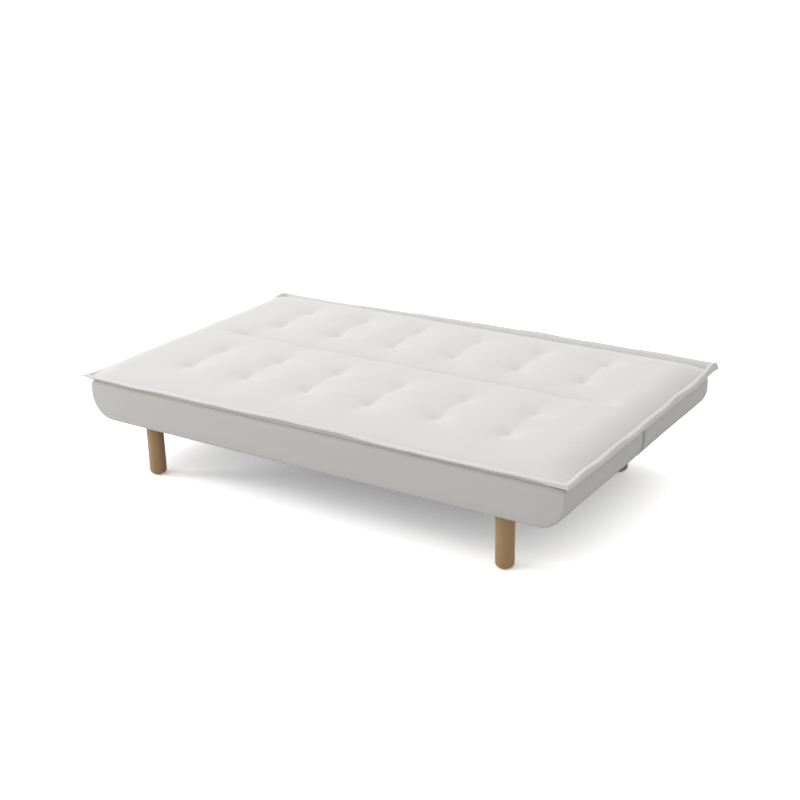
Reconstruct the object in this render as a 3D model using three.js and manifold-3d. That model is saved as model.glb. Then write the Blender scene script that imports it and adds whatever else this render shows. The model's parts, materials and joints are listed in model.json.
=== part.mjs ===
// Click clack sofa bed, laid flat as a bed. Millimetres, +Z up.
// The origin is on the floor under the middle of the bed, +X runs along its length, and +Y goes to the back.
// A seat box and a back box turn about one axis under the fold, each on its own pair of arms, and rest on a
// low steel underframe with four round wooden legs. A toothed quadrant and a pawl at each end set the back.

import * as THREE from "three";
import { mergeVertices } from "three/addons/utils/BufferGeometryUtils.js";
import Module from "manifold-3d";

const wasm = await Module();
wasm.setup();

// Overall sizes
const bedLength = 1900;
const bedDepth = 1170;
const boxInset = 19; // the mattress edge stands out past the boxes by this much
const boxCornerRadius = 90; // lower ends of the boxes, seen from the front
const foldGap = 16; // open gap between the seat box and the back box
const pivotHeight = 342; // axis of both hinges, in the fold
const pivotAboveBox = 12; // from the top of the boxes up to the axis

// Clearances
const fitGap = 0.3; // between pieces that touch
const cutOverrun = 5; // how far a cut runs past the face that it leaves by

// Mattress pads
const flangeWidth = 23; // sewn edge round each pad
const flangeThickness = 7;
const flangeAbovePivot = 5; // from the axis up to the middle of the sewn edge
const crownRise = 41; // from the sewn edge up to the crown
const edgeRoll = 70; // width over which the pad rolls down to its edge
const foldRoll = 95; // width over which it rolls down to the fold
const foldRollPower = 1.6;
const foldWallAngle = 38; // steepest that a pad's wall may stand at the fold
const tuftColumns = 6;
const tuftEndInset = 315; // from the bed's end to the nearest tufts
const tuftNearRow = 174; // from the fold
const tuftFarRow = 360;
const tuftDepth = 17;
const tuftRadius = 28;
const creaseDepth = 8; // soft crease that joins the two tufts of a column
const creaseRadius = 22;
const padLongStep = 70; // longest step of the pad's surface between its named places
const rollShares = [0.28, 0.62]; // steps across the edge roll
const foldStepShare = 1 / 3; // first step across the fold roll

// Box frames
const coverThickness = 8;
const coverLip = 60; // turned under the box all round
const boardThickness = 18;
const boardDrop = 30; // from the top of the boxes down to the top of their boards
const railThickness = 28; // timber rails between the boards
const webbingThickness = 2;
const webbingWidth = 80;
const webbingSpacing = 180;
const webbingRows = 3;
const webbingSeat = 14; // how far a strap lies on a board
const dustCoverThickness = 1.5;

// Underframe
const tubeWall = 2;
const tubeHeight = 25;
const railTubeWidth = 40;
const sideTubeWidth = 25;
const frameTop = 190; // top of the legs and the tubes
const boxRestGap = 7; // from the frame up to the boxes that rest on it
const railEndInset = 145; // from the bed's end to the end of a long tube
const endPlateThickness = 4;
const endPlateWidth = 50;
const endPlateInset = 1.5;
const endScrewSpacing = 36;
const screwHeadHeight = 3;

// Legs
const legEndInset = 247; // from the bed's end to the middle of a leg
const legFrontInset = 86; // from the bed's front
const legRearInset = 240; // from the bed's back
const legRadius = 30;
const legFootRound = 15;
const legTopRound = 1.5;
const legRailGap = 4;
const glideRadius = 14;
const glideThickness = 4;
const glideRound = 1;
const nailRadius = 1.5;
const nailLength = 14;
const plateThickness = 4;
const plateWidth = 100;
const plateMargin = 4; // plate edge inside the leg's outer side
const plateCornerRadius = 8;
const legBoltRadius = 4;
const legBoltHeadRadius = 7.7;
const legBoltLength = 44;
const legBoltTip = 5;
const legBoltTipShare = 0.5; // of its radius, at the very end

// Rivets and screws
const rivetRadius = 3;
const rivetHeadRadius = 6;
const rivetHeadHeight = 1.5;
const rivetSpacing = 64;
const rivetTail = 3; // below the wall that it holds

// Rest buffers
const bufferRadius = 13;
const bufferRound = 2;
const bufferStudRadius = 4;
const bufferStudLength = 7;

// Hinge mechanism, in layers across the bed's end
const timberInset = 175; // from the bed's end to the inner face of the seat's timber end rails
const armThickness = 4;
const eyeRadius = 12;
const pivotRadius = 5;
const pivotHeadRadius = 9;
const pivotHeadHeight = 4;
const pivotNutRadius = 9;
const pivotNutHeight = 6;
const pivotNutSides = 6;
const pivotEnd = 1; // the pin's end past its nut
const bracketThickness = 8;
const bracketBarWidth = 24;
const bracketBarDepth = 12;
const bracketBarTop = 14; // below the pivot
const bracketFootLength = 90;
const armDrop = 59; // from the pivot down to the middle of the arm
const armHeight = 32;
const armReach = 250;
const armNeckWidth = 24;
const armBoltRadius = 3;
const armBoltHeadRadius = 6.5;
const armBoltHeadHeight = 3;
const armBoltLength = 20;
const armBoltCount = 3;
const armBoltSpacing = 70;
const armBoltEndInset = 25;
const armEndRound = 10;
const quadrantCrest = 40;
const quadrantToothHeight = 6;
const quadrantTeeth = 6;
const quadrantPitch = 12; // degrees from notch to notch
const quadrantPlainRim = 12; // degrees of smooth rim past the pawl at rest
const notchFloorShares = [0.25, -0.12]; // of the pitch, from the middle of a notch
const toothCrestShares = [-0.17, -0.5];
const noseAngle = -72; // where the pawl meets the rim, from +Y, in degrees
const pawlPinOffset = 12; // pawl pin, from the fold towards the seat
const pawlPinRadius = 3.5;
const pawlPinHeadRadius = 5.5;
const pawlPinHeadHeight = 2.3;
const pawlHubRadius = 8;
const pawlLugRadius = 12;
const pawlNoseDepth = 6;
const pawlNoseWidth = 3;
const pawlRimGap = 0.4; // the nose rides clear of the rim by this much
const springWireRadius = 0.8;
const springCoilRadius = 5.6;
const springTurns = 3;
const springCoilPitch = 2.3;
const springTail = 9;
const wellGapInner = 5; // open space beside the mechanism, towards the middle
const wellGapOuter = 10;
const wellReach = 52; // from the fold
const wellDepth = 88; // below the pivot
const pocketReach = 34; // recess in the pads over the eyes
const pocketHeight = 15; // above the pivot

// Round pieces
const legSegments = 24;
const wideSegments = 20;
const smallSegments = 8;
const cornerSegments = 8;
const footSegments = 5;
const edgeSegments = 3; // on small rounded edges and corners
const wireSegments = 5;
const turnSteps = 8;

// Places that follow from the sizes
const boxBottom = frameTop + boxRestGap;
const boxTop = pivotHeight - pivotAboveBox;
const boardTop = boxTop - boardDrop;
const boxCorner = Math.min(boxCornerRadius, boardTop - boxBottom); // no larger than the boards are high
const flangeHeight = pivotHeight + flangeAbovePivot;
const crownHeight = flangeHeight + crownRise;
const tuftPitch = (bedLength - 2 * tuftEndInset) / (tuftColumns - 1);
const boxHalfLength = bedLength / 2 - boxInset;
const boxInner = foldGap / 2;
const boxOuter = bedDepth / 2 - boxInset;
const timberFace = bedLength / 2 - timberInset;
const seatArmOuter = timberFace - fitGap;
const seatArmInner = seatArmOuter - armThickness;
const backArmOuter = seatArmInner - fitGap;
const backArmInner = backArmOuter - armThickness;
const bracketOuter = backArmInner - fitGap;
const bracketInner = bracketOuter - bracketThickness;
const seatRailFace = timberFace;
const backRailFace = backArmOuter + fitGap;
const barInner = bracketOuter - bracketBarWidth;
const sideTubeCentre = bracketOuter - bracketBarWidth / 2;
const bufferX = (seatRailFace + backRailFace + railThickness) / 2;
const wellInner = bracketInner - pivotHeadHeight - wellGapInner;
const wellOuter = timberFace + wellGapOuter;
const railHalfLength = bedLength / 2 - railEndInset;
const legX = bedLength / 2 - legEndInset;
const legFrontY = bedDepth / 2 - legFrontInset;
const legRearY = bedDepth / 2 - legRearInset;
const frontRailY = legFrontY - legRadius - legRailGap - railTubeWidth / 2;
const rearRailY = legRearY - legRadius - legRailGap - railTubeWidth / 2;
const plateBottom = frameTop + fitGap;
const plateTop = plateBottom + plateThickness;
const foldWallSlope = Math.tan(THREE.MathUtils.degToRad(foldWallAngle));

// Finishes
const finish = (color, roughness, metalness = 0) =>
  new THREE.MeshStandardMaterial({ color, roughness, metalness });
const padFabric = () => finish(0xe9e8e5, 0.95);
const boxFabric = () => finish(0xc2beb8, 0.95);
const legWood = () => finish(0xbf9a68, 0.55);
const rawTimber = () => finish(0xd8bd90, 0.8);
const blackSteel = () => finish(0x26272a, 0.5, 0.6);
const zincSteel = () => finish(0xa9adb1, 0.4, 0.9);
const webbingCloth = () => finish(0x8b6f4c, 0.95);
const foam = () => finish(0xe8e0c4, 1);
const dustCloth = () => finish(0x1d1d1f, 1);
const rubber = () => finish(0x1a1a1a, 0.85);
const nylon = () => finish(0x3a3a3c, 0.6);

// Closed meshes and booleans

/** Merges shared vertices, drops empty triangles and turns the faces outwards. */
function closedMesh(geometry) {
  geometry.deleteAttribute("normal");
  geometry.deleteAttribute("uv");
  const merged = mergeVertices(geometry);
  const corners = merged.attributes.position.array;
  const kept = [];
  let volume = 0;
  const at = (corner) => new THREE.Vector3().fromArray(corners, corner * 3);
  for (let face = 0; face < merged.index.count; face += 3) {
    const [a, b, c] = [0, 1, 2].map((turn) => merged.index.array[face + turn]);
    if (a === b || b === c || c === a) continue;
    kept.push(a, b, c);
    volume += at(a).dot(at(b).cross(at(c)));
  }
  if (volume < 0) kept.reverse();
  merged.setIndex(kept);
  return merged;
}

/** A manifold solid from a three.js geometry. */
function solid(geometry) {
  const mesh = closedMesh(geometry);
  return new wasm.Manifold(
    new wasm.Mesh({
      numProp: 3,
      vertProperties: new Float32Array(mesh.attributes.position.array),
      triVerts: new Uint32Array(mesh.index.array),
    }),
  );
}

/** The three.js geometry of a manifold solid. */
function geometryOf(manifold) {
  const mesh = manifold.getMesh();
  const geometry = new THREE.BufferGeometry();
  geometry.setAttribute("position", new THREE.BufferAttribute(new Float32Array(mesh.vertProperties), 3));
  geometry.setIndex([...mesh.triVerts]);
  geometry.computeVertexNormals();
  return geometry;
}

const joined = (first, ...others) => others.reduce((whole, other) => whole.add(other), first);
const cut = (first, ...others) => others.reduce((whole, other) => whole.subtract(other), first);

// Basic solids, each given where it lies

function box([xLow, xHigh], [yLow, yHigh], [zLow, zHigh]) {
  const geometry = new THREE.BoxGeometry(xHigh - xLow, yHigh - yLow, zHigh - zLow);
  geometry.translate((xLow + xHigh) / 2, (yLow + yHigh) / 2, (zLow + zHigh) / 2);
  return solid(geometry);
}

/** A profile drawn in Y and Z, run along X. */
function alongX(profile, xLow, xHigh) {
  const geometry = new THREE.ExtrudeGeometry(profile, { depth: xHigh - xLow, bevelEnabled: false });
  geometry.applyMatrix4(new THREE.Matrix4().makeBasis(
    new THREE.Vector3(0, 1, 0), new THREE.Vector3(0, 0, 1), new THREE.Vector3(1, 0, 0)));
  geometry.translate(xLow, 0, 0);
  return solid(geometry);
}

/** A profile drawn in X and Z, run along Y. */
function alongY(profile, yLow, yHigh) {
  const geometry = new THREE.ExtrudeGeometry(profile, { depth: yHigh - yLow, bevelEnabled: false });
  geometry.rotateX(Math.PI / 2);
  geometry.translate(0, yHigh, 0);
  return solid(geometry);
}

/** A profile drawn in X and Y, run up Z. */
function alongZ(profile, zLow, zHigh) {
  const geometry = new THREE.ExtrudeGeometry(profile, { depth: zHigh - zLow, bevelEnabled: false });
  geometry.translate(0, 0, zLow);
  return solid(geometry);
}

/** A profile of [radius, height] turned about a vertical line at x, y. */
function turnedZ(profile, x, y, segments = wideSegments) {
  const points = profile.map(([radius, height]) => new THREE.Vector2(radius, height));
  const geometry = new THREE.LatheGeometry(points, segments);
  geometry.rotateX(Math.PI / 2);
  geometry.translate(x, y, 0);
  return solid(geometry);
}

/** A plain round rod along X, centred on y, z. */
function rodX(radius, xLow, xHigh, y, z, segments = wideSegments) {
  const geometry = new THREE.CylinderGeometry(radius, radius, xHigh - xLow, segments);
  geometry.rotateZ(Math.PI / 2);
  geometry.translate((xLow + xHigh) / 2, y, z);
  return solid(geometry);
}

function rodY(radius, x, yLow, yHigh, z, segments = smallSegments) {
  const geometry = new THREE.CylinderGeometry(radius, radius, yHigh - yLow, segments);
  geometry.translate(x, (yLow + yHigh) / 2, z);
  return solid(geometry);
}

function rodZ(radius, x, y, zLow, zHigh, segments = smallSegments) {
  const geometry = new THREE.CylinderGeometry(radius, radius, zHigh - zLow, segments);
  geometry.rotateX(Math.PI / 2);
  geometry.translate(x, y, (zLow + zHigh) / 2);
  return solid(geometry);
}

/** Points of an arc about a centre, angles in degrees. */
function arcPoints(centreA, centreB, radius, startAngle, endAngle, steps) {
  return Array.from({ length: steps + 1 }, (_, step) => {
    const angle = THREE.MathUtils.degToRad(startAngle + ((endAngle - startAngle) * step) / steps);
    return [centreA + radius * Math.cos(angle), centreB + radius * Math.sin(angle)];
  });
}

const shapeOf = (points) => new THREE.Shape(points.map(([a, b]) => new THREE.Vector2(a, b)));

/** A rectangle with round corners. */
function roundedRectangle([aLow, aHigh], [bLow, bHigh], radius) {
  return shapeOf([
    ...arcPoints(aHigh - radius, bLow + radius, radius, -90, 0, edgeSegments),
    ...arcPoints(aHigh - radius, bHigh - radius, radius, 0, 90, edgeSegments),
    ...arcPoints(aLow + radius, bHigh - radius, radius, 90, 180, edgeSegments),
    ...arcPoints(aLow + radius, bLow + radius, radius, 180, 270, edgeSegments),
  ]);
}

/** The same geometry on the other side of a mirror plane through the origin. */
function mirrored(manifold, axis) {
  const geometry = geometryOf(manifold);
  geometry.scale(axis === "x" ? -1 : 1, axis === "y" ? -1 : 1, 1);
  return solid(geometry);
}

function mesh(name, shape, material) {
  const piece = new THREE.Mesh(geometryOf(shape), material);
  piece.name = name;
  return piece;
}

/** A right-hand piece and its mirror image at the left-hand end. */
function pair(group, name, shape, material) {
  group.add(mesh(`${name}_right`, shape, material()), mesh(`${name}_left`, mirrored(shape, "x"), material()));
}

// Pads of the mattress

/** Places along one side of a pad's surface, with no step over the longest one. */
function gridLines(places) {
  const sorted = [...new Set(places)].sort((low, high) => low - high);
  const lines = [sorted[0]];
  for (const place of sorted.slice(1)) {
    const last = lines[lines.length - 1];
    const steps = Math.ceil((place - last) / padLongStep);
    for (let step = 1; step <= steps; step += 1) lines.push(last + ((place - last) * step) / steps);
  }
  return lines;
}

/** How far up its crown a pad is, at a distance in from its sewn edge. */
const edgeRise = (distance) => Math.sqrt(1 - (1 - Math.min(Math.max(distance, 0) / edgeRoll, 1)) ** 2);

const tuftXs = Array.from({ length: tuftColumns },
  (_, column) => (column - (tuftColumns - 1) / 2) * tuftPitch);

/** How deep the tufts and the creases between them pull the surface in. */
function tuftPull(x, y) {
  let pull = 0;
  for (const tuftX of tuftXs) {
    for (const row of [tuftNearRow, tuftFarRow]) {
      pull += tuftDepth * Math.exp(-((x - tuftX) ** 2 + (y - row) ** 2) / tuftRadius ** 2);
    }
    const past = Math.max(tuftNearRow - y, y - tuftFarRow, 0);
    pull += creaseDepth * Math.exp(-(((x - tuftX) / creaseRadius) ** 2) - (past / tuftRadius / 2) ** 2);
  }
  return pull;
}

/** Height of a pad's upper surface, y counted from the fold. */
function padSurface(x, y, halfLength, outer) {
  const inward = edgeRise(halfLength - Math.abs(x)) * edgeRise(outer - y);
  const crown = flangeHeight + (crownHeight - flangeHeight) * inward;
  const rise = 1 - (1 - Math.min((y - fitGap) / foldRoll, 1)) ** foldRollPower;
  const fold = pivotHeight + (crownHeight - pivotHeight) * rise;
  return Math.min(crown, fold) - tuftPull(x, y);
}

/** One half of the mattress, on the back's side of the fold. */
function padHalf() {
  const halfLength = bedLength / 2 - flangeWidth;
  const outer = bedDepth / 2 - flangeWidth;
  const bottom = boxTop + fitGap;
  const rolls = [0, ...rollShares, 1].map((share) => share * edgeRoll);
  const around = (centre) => [centre - tuftRadius, centre, centre + tuftRadius];
  const xs = gridLines([...tuftXs.flatMap(around),
    ...rolls.flatMap((roll) => [roll - halfLength, halfLength - roll])]);
  const ys = gridLines([fitGap, foldRoll * foldStepShare, foldRoll, ...around(tuftNearRow),
    ...around(tuftFarRow), ...rolls.map((roll) => outer - roll)]);

  const positions = [];
  const index = [];
  const across = xs.length;
  for (const y of ys) for (const x of xs) positions.push(x, y, padSurface(x, y, halfLength, outer));
  for (let row = 0; row + 1 < ys.length; row += 1) {
    for (let column = 0; column + 1 < across; column += 1) {
      const a = row * across + column;
      index.push(a, a + 1, a + across + 1, a, a + across + 1, a + across);
    }
  }
  // The rim of the surface, walked once round, is repeated flat on the underside
  const last = (ys.length - 1) * across;
  const rim = [
    ...xs.map((_, column) => column),
    ...ys.slice(1).map((_, row) => (row + 2) * across - 1),
    ...xs.slice(1).map((_, column) => last + across - 2 - column),
    ...ys.slice(2).map((_, row) => last - (row + 1) * across),
  ];
  const base = positions.length / 3;
  for (const corner of rim) positions.push(positions[corner * 3], positions[corner * 3 + 1], bottom);
  rim.forEach((corner, place) => {
    const next = (place + 1) % rim.length;
    index.push(corner, base + place, base + next, corner, base + next, rim[next]);
  });
  const outline = rim.map((corner) => new THREE.Vector2(positions[corner * 3], positions[corner * 3 + 1]));
  for (const [a, b, c] of THREE.ShapeUtils.triangulateShape(outline, [])) {
    index.push(base + a, base + c, base + b);
  }

  const geometry = new THREE.BufferGeometry();
  geometry.setAttribute("position", new THREE.BufferAttribute(new Float32Array(positions), 3));
  geometry.setIndex(index);

  // The sewn edge is slanted off at the fold, so that the two halves can close on each other
  const low = flangeHeight - flangeThickness / 2;
  const high = flangeHeight + flangeThickness / 2;
  const wallAt = (height) => fitGap + (height - pivotHeight) / foldWallSlope;
  const edge = bedDepth / 2;
  const section = shapeOf([[wallAt(low), low], [edge, low], [edge, high], [wallAt(high), high]]);
  const flange = alongX(section, -bedLength / 2, bedLength / 2);
  const pocket = box([wellInner, wellOuter], [-cutOverrun, pocketReach],
    [bottom - cutOverrun, pivotHeight + pocketHeight]);
  return cut(joined(solid(geometry), flange), pocket, mirrored(pocket, "x"));
}

// Boxes of the seat and the back, both drawn on the back's side of the fold

/** A box's outline from the front, brought in by a gap: open at the top, with round lower corners. */
function boxOutline(gap, top) {
  const half = boxHalfLength - gap;
  const bottom = boxBottom + gap;
  const radius = boxCorner - gap;
  return shapeOf([
    [half, top], [-half, top],
    ...arcPoints(radius - half, bottom + radius, radius, 180, 270, cornerSegments),
    ...arcPoints(half - radius, bottom + radius, radius, -90, 0, cornerSegments),
  ]);
}

/** The open space that the hinge mechanism takes at both ends, across the fold. */
function wells() {
  const right = box([wellInner, wellOuter], [-cutOverrun, wellReach], [pivotHeight - wellDepth, pivotHeight]);
  return [right, mirrored(right, "x")];
}

const innerFace = boxInner + coverThickness + fitGap; // of the board next to the fold
const outerFace = boxOuter - coverThickness - fitGap;

/** Padded fabric cover: a tub with round lower ends, turned under round the bottom. */
function boxCover() {
  const outside = alongY(boxOutline(0, boxTop), boxInner, boxOuter);
  const inside = alongY(boxOutline(coverThickness, boxTop + cutOverrun), boxInner + coverThickness,
    boxOuter - coverThickness);
  const halfOpening = boxHalfLength - boxCorner - coverLip;
  const opening = box([-halfOpening, halfOpening], [boxInner + coverLip, boxOuter - coverLip],
    [boxBottom - cutOverrun, boxBottom + coverThickness + cutOverrun]);
  return cut(outside, inside, opening, ...wells());
}

function dustCover() {
  const half = boxHalfLength - boxCorner - coverLip - fitGap;
  return box([-half, half], [boxInner + coverLip + fitGap, boxOuter - coverLip - fitGap],
    [boxBottom, boxBottom + dustCoverThickness]);
}

/** A long board of the box, with the box's own outline. */
function longBoard(yLow) {
  return cut(alongY(boxOutline(coverThickness + fitGap, boardTop), yLow, yLow + boardThickness), ...wells());
}

const timberSpan = [innerFace + boardThickness + fitGap, outerFace - boardThickness - fitGap];
const timberHeights = [boxBottom + coverThickness + fitGap, boardTop];

/** Places of the bolts that hold an arm to its timber end rail. */
const armBoltYs = Array.from({ length: armBoltCount },
  (_, bolt) => armReach - armBoltEndInset - bolt * armBoltSpacing);

function endRail(face) {
  const holes = armBoltYs.map((y) => rodX(armBoltRadius + fitGap, face - cutOverrun,
    face + armBoltLength + fitGap, y, pivotHeight - armDrop, smallSegments));
  return cut(box([face, face + railThickness], timberSpan, timberHeights), ...holes);
}

const middleRail = () => box([-railThickness / 2, railThickness / 2], timberSpan, timberHeights);

/** Webbing straps that cross on top of the timber frame. */
function webbing() {
  const low = boardTop + fitGap;
  const heights = [low, low + webbingThickness];
  const near = innerFace + boardThickness - webbingSeat;
  const far = outerFace - boardThickness + webbingSeat;
  const half = backRailFace + webbingSeat;
  const count = Math.floor((2 * half - webbingWidth) / webbingSpacing) + 1;
  const straps = [];
  for (let strap = 0; strap < count; strap += 1) {
    const x = (strap - (count - 1) / 2) * webbingSpacing;
    straps.push(box([x - webbingWidth / 2, x + webbingWidth / 2], [near, far], heights));
  }
  for (let row = 0; row < webbingRows; row += 1) {
    const y = near + ((far - near) * (row + 1)) / (webbingRows + 1);
    straps.push(box([-half, half], [y - webbingWidth / 2, y + webbingWidth / 2], heights));
  }
  return cut(joined(...straps), ...wells());
}

function foamSlab() {
  const half = boxHalfLength - coverThickness - fitGap;
  const low = boardTop + fitGap + webbingThickness + fitGap;
  return cut(box([-half, half], [innerFace, outerFace], [low, boxTop]), ...wells());
}

// Hinge mechanism, drawn at the right-hand end

/** A link outline round two circles of the same pair of layers. */
function link([startY, startZ, startRadius], [endY, endZ, endRadius], xLow, xHigh) {
  const turn = Math.atan2(endZ - startZ, endY - startY);
  const across = (radius, side) => [-Math.sin(turn) * radius * side, Math.cos(turn) * radius * side];
  const corner = (y, z, radius, side) => [y + across(radius, side)[0], z + across(radius, side)[1]];
  return joined(
    rodX(startRadius, xLow, xHigh, startY, startZ),
    rodX(endRadius, xLow, xHigh, endY, endZ),
    alongX(shapeOf([corner(startY, startZ, startRadius, -1), corner(endY, endZ, endRadius, -1),
      corner(endY, endZ, endRadius, 1), corner(startY, startZ, startRadius, 1)]), xLow, xHigh),
  );
}

/** The hole for the pivot pin through a piece that lies between two places. */
const pivotBore = (xLow, xHigh) =>
  rodX(pivotRadius + fitGap, xLow - cutOverrun, xHigh + cutOverrun, 0, pivotHeight);

/** Flat steel arm: an eye at the pivot, a neck down, and a strip bolted along a timber rail. */
function arm(xLow, xHigh, elbowY) {
  const stripZ = pivotHeight - armDrop;
  const neck = link([0, pivotHeight, eyeRadius], [elbowY, stripZ, armNeckWidth / 2], xLow, xHigh);
  const strip = alongX(roundedRectangle([elbowY - armNeckWidth / 2, armReach],
    [stripZ - armHeight / 2, stripZ + armHeight / 2], armEndRound), xLow, xHigh);
  const bolts = armBoltYs.flatMap((y) => [
    rodX(armBoltHeadRadius, xLow - armBoltHeadHeight, xLow, y, stripZ, pivotNutSides),
    rodX(armBoltRadius, xLow - armBoltHeadHeight / 2, xHigh + armBoltLength, y, stripZ, smallSegments),
  ]);
  return cut(joined(neck, strip, ...bolts), pivotBore(xLow, xHigh));
}

/** Toothed quadrant: a plain rim under the pawl at rest, then a notch for each step of the back. */
function quadrant() {
  const rim = [];
  const root = quadrantCrest - quadrantToothHeight;
  const first = noseAngle + quadrantPlainRim;
  rim.push(...arcPoints(0, pivotHeight, quadrantCrest, first, noseAngle - quadrantPitch / 2, cornerSegments));
  for (let tooth = 1; tooth <= quadrantTeeth; tooth += 1) {
    const notch = noseAngle - tooth * quadrantPitch;
    // A notch has one steep flank, which the pawl stands against, and one long slope, which lifts it out
    const place = (share) => notch + share * quadrantPitch;
    rim.push(...arcPoints(0, pivotHeight, root, ...notchFloorShares.map(place), 1));
    rim.push(...arcPoints(0, pivotHeight, quadrantCrest, ...toothCrestShares.map(place), 1));
  }
  const end = noseAngle - (quadrantTeeth + 1) * quadrantPitch;
  rim.push(...arcPoints(0, pivotHeight, quadrantCrest, end + quadrantPitch / 2, end, 2));
  return alongX(shapeOf([[0, pivotHeight], ...rim]), backArmInner, backArmOuter);
}

/** The back's arm carries the quadrant round its eye. */
function backArm() {
  const elbow = innerFace + boardThickness + armNeckWidth / 2;
  const whole = joined(arm(backArmInner, backArmOuter, elbow), quadrant());
  return cut(whole, pivotBore(backArmInner, backArmOuter));
}

const pawlPinZ = pivotHeight - armDrop;

/** The seat's arm carries the pawl pin at its elbow. */
function seatArm() {
  const plain = mirrored(arm(seatArmInner, seatArmOuter, pawlPinOffset), "y");
  const lug = rodX(pawlLugRadius, seatArmInner, seatArmOuter, -pawlPinOffset, pawlPinZ);
  const bore = rodX(pawlPinRadius + fitGap, seatArmInner - cutOverrun, seatArmOuter + cutOverrun,
    -pawlPinOffset, pawlPinZ, smallSegments);
  return cut(joined(plain, lug), bore);
}

/** Pawl: a hub on its pin and a nose that rides on the quadrant's rim. */
function pawl() {
  const [[tipY, tipZ]] = arcPoints(0, pivotHeight, quadrantCrest + pawlRimGap, noseAngle, noseAngle, 1);
  const radial = THREE.MathUtils.degToRad(noseAngle);
  const heelY = tipY + pawlNoseDepth * Math.cos(radial) - pawlNoseWidth * Math.sin(radial) / 2;
  const heelZ = tipZ + pawlNoseDepth * Math.sin(radial) + pawlNoseWidth * Math.cos(radial) / 2;
  const turn = Math.atan2(tipZ - pawlPinZ, tipY + pawlPinOffset);
  const side = [-Math.sin(turn) * pawlHubRadius, Math.cos(turn) * pawlHubRadius];
  const body = alongX(shapeOf([[-pawlPinOffset - side[0], pawlPinZ - side[1]], [heelY, heelZ], [tipY, tipZ],
    [-pawlPinOffset + side[0], pawlPinZ + side[1]]]), backArmInner, backArmOuter);
  const hub = rodX(pawlHubRadius, backArmInner, backArmOuter, -pawlPinOffset, pawlPinZ);
  const bore = rodX(pawlPinRadius + fitGap, backArmInner - cutOverrun, backArmOuter + cutOverrun,
    -pawlPinOffset, pawlPinZ, smallSegments);
  return cut(joined(hub, body), bore);
}

const springStart = seatArmOuter + fitGap + springWireRadius;
const springEnd = springStart + springTurns * springCoilPitch;

function pawlPin() {
  const head = rodX(pawlPinHeadRadius, bracketOuter - pawlPinHeadHeight, bracketOuter,
    -pawlPinOffset, pawlPinZ);
  const shank = rodX(pawlPinRadius, bracketOuter - pawlPinHeadHeight / 2, springEnd + springWireRadius,
    -pawlPinOffset, pawlPinZ, smallSegments);
  return joined(head, shank);
}

/** Centre line of the pawl's torsion spring: a straight tail, the coil, and a second tail. */
class SpringLine extends THREE.Curve {
  getPoint(share, target = new THREE.Vector3()) {
    const turned = springTurns * 2 * Math.PI;
    const tailAngle = springTail / springCoilRadius;
    const travel = share * (turned + 2 * tailAngle) - tailAngle;
    const angle = Math.min(Math.max(travel, 0), turned);
    const past = (travel - angle) * springCoilRadius;
    const y = springCoilRadius * Math.cos(angle) - past * Math.sin(angle);
    const z = springCoilRadius * Math.sin(angle) + past * Math.cos(angle);
    const x = springStart + (springCoilPitch * angle) / (2 * Math.PI);
    return target.set(x, y - pawlPinOffset, z + pawlPinZ);
  }
}

function pawlSpring() {
  const wire = shapeOf(arcPoints(0, 0, springWireRadius, 0, 360, wireSegments).slice(1));
  const extrudePath = new SpringLine();
  const steps = (springTurns + 1) * turnSteps;
  return solid(new THREE.ExtrudeGeometry(wire, { steps, bevelEnabled: false, extrudePath }));
}

/** Bracket that stands up through the gap between the boxes and holds the pivot pin. */
function hingeBracket() {
  const depths = [-bracketBarDepth / 2, bracketBarDepth / 2];
  const eye = rodX(eyeRadius, bracketInner, bracketOuter, 0, pivotHeight);
  const web = box([bracketInner, bracketOuter], depths, [plateTop, pivotHeight]);
  const bar = box([barInner, bracketOuter], depths, [plateBottom, pivotHeight - bracketBarTop]);
  const foot = box([barInner, bracketOuter], [-bracketFootLength / 2, bracketFootLength / 2],
    [plateBottom, plateTop]);
  const frame = joined(eye, web, bar, foot, ...rivets(sideTubeCentre, 0, 0, rivetSpacing));
  return cut(frame, pivotBore(bracketInner, bracketOuter));
}

function pivotPin() {
  const headOuter = bracketInner - fitGap;
  const end = seatArmOuter + fitGap + pivotNutHeight + pivotEnd;
  return joined(rodX(pivotHeadRadius, headOuter - pivotHeadHeight, headOuter, 0, pivotHeight),
    rodX(pivotRadius, headOuter - pivotHeadHeight / 2, end, 0, pivotHeight));
}

function pivotNut() {
  const low = seatArmOuter + fitGap;
  return cut(rodX(pivotNutRadius, low, low + pivotNutHeight, 0, pivotHeight, pivotNutSides),
    pivotBore(low, low + pivotNutHeight));
}

// Underframe

/** Two rivets through a plate and the tube wall under it, as far apart as the spacings say. */
function rivets(x, y, spacingX, spacingY) {
  return [-1, 1].flatMap((side) => {
    const [rivetX, rivetY] = [x + (side * spacingX) / 2, y + (side * spacingY) / 2];
    return [
      rodZ(rivetHeadRadius, rivetX, rivetY, plateTop - rivetHeadHeight / 2, plateTop + rivetHeadHeight),
      rodZ(rivetRadius, rivetX, rivetY, frameTop - tubeWall - rivetTail, plateTop),
    ];
  });
}

/** The holes for those rivets. */
function rivetHoles(x, y, spacingX, spacingY) {
  return [-1, 1].map((side) => rodZ(rivetRadius + fitGap, x + (side * spacingX) / 2,
    y + (side * spacingY) / 2, frameTop - tubeWall - fitGap, frameTop + cutOverrun));
}

const tubeHeights = [frameTop - tubeHeight, frameTop];
const tubeInside = [frameTop - tubeHeight + tubeWall, frameTop - tubeWall];
const tubeMiddle = frameTop - tubeHeight / 2;

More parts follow.
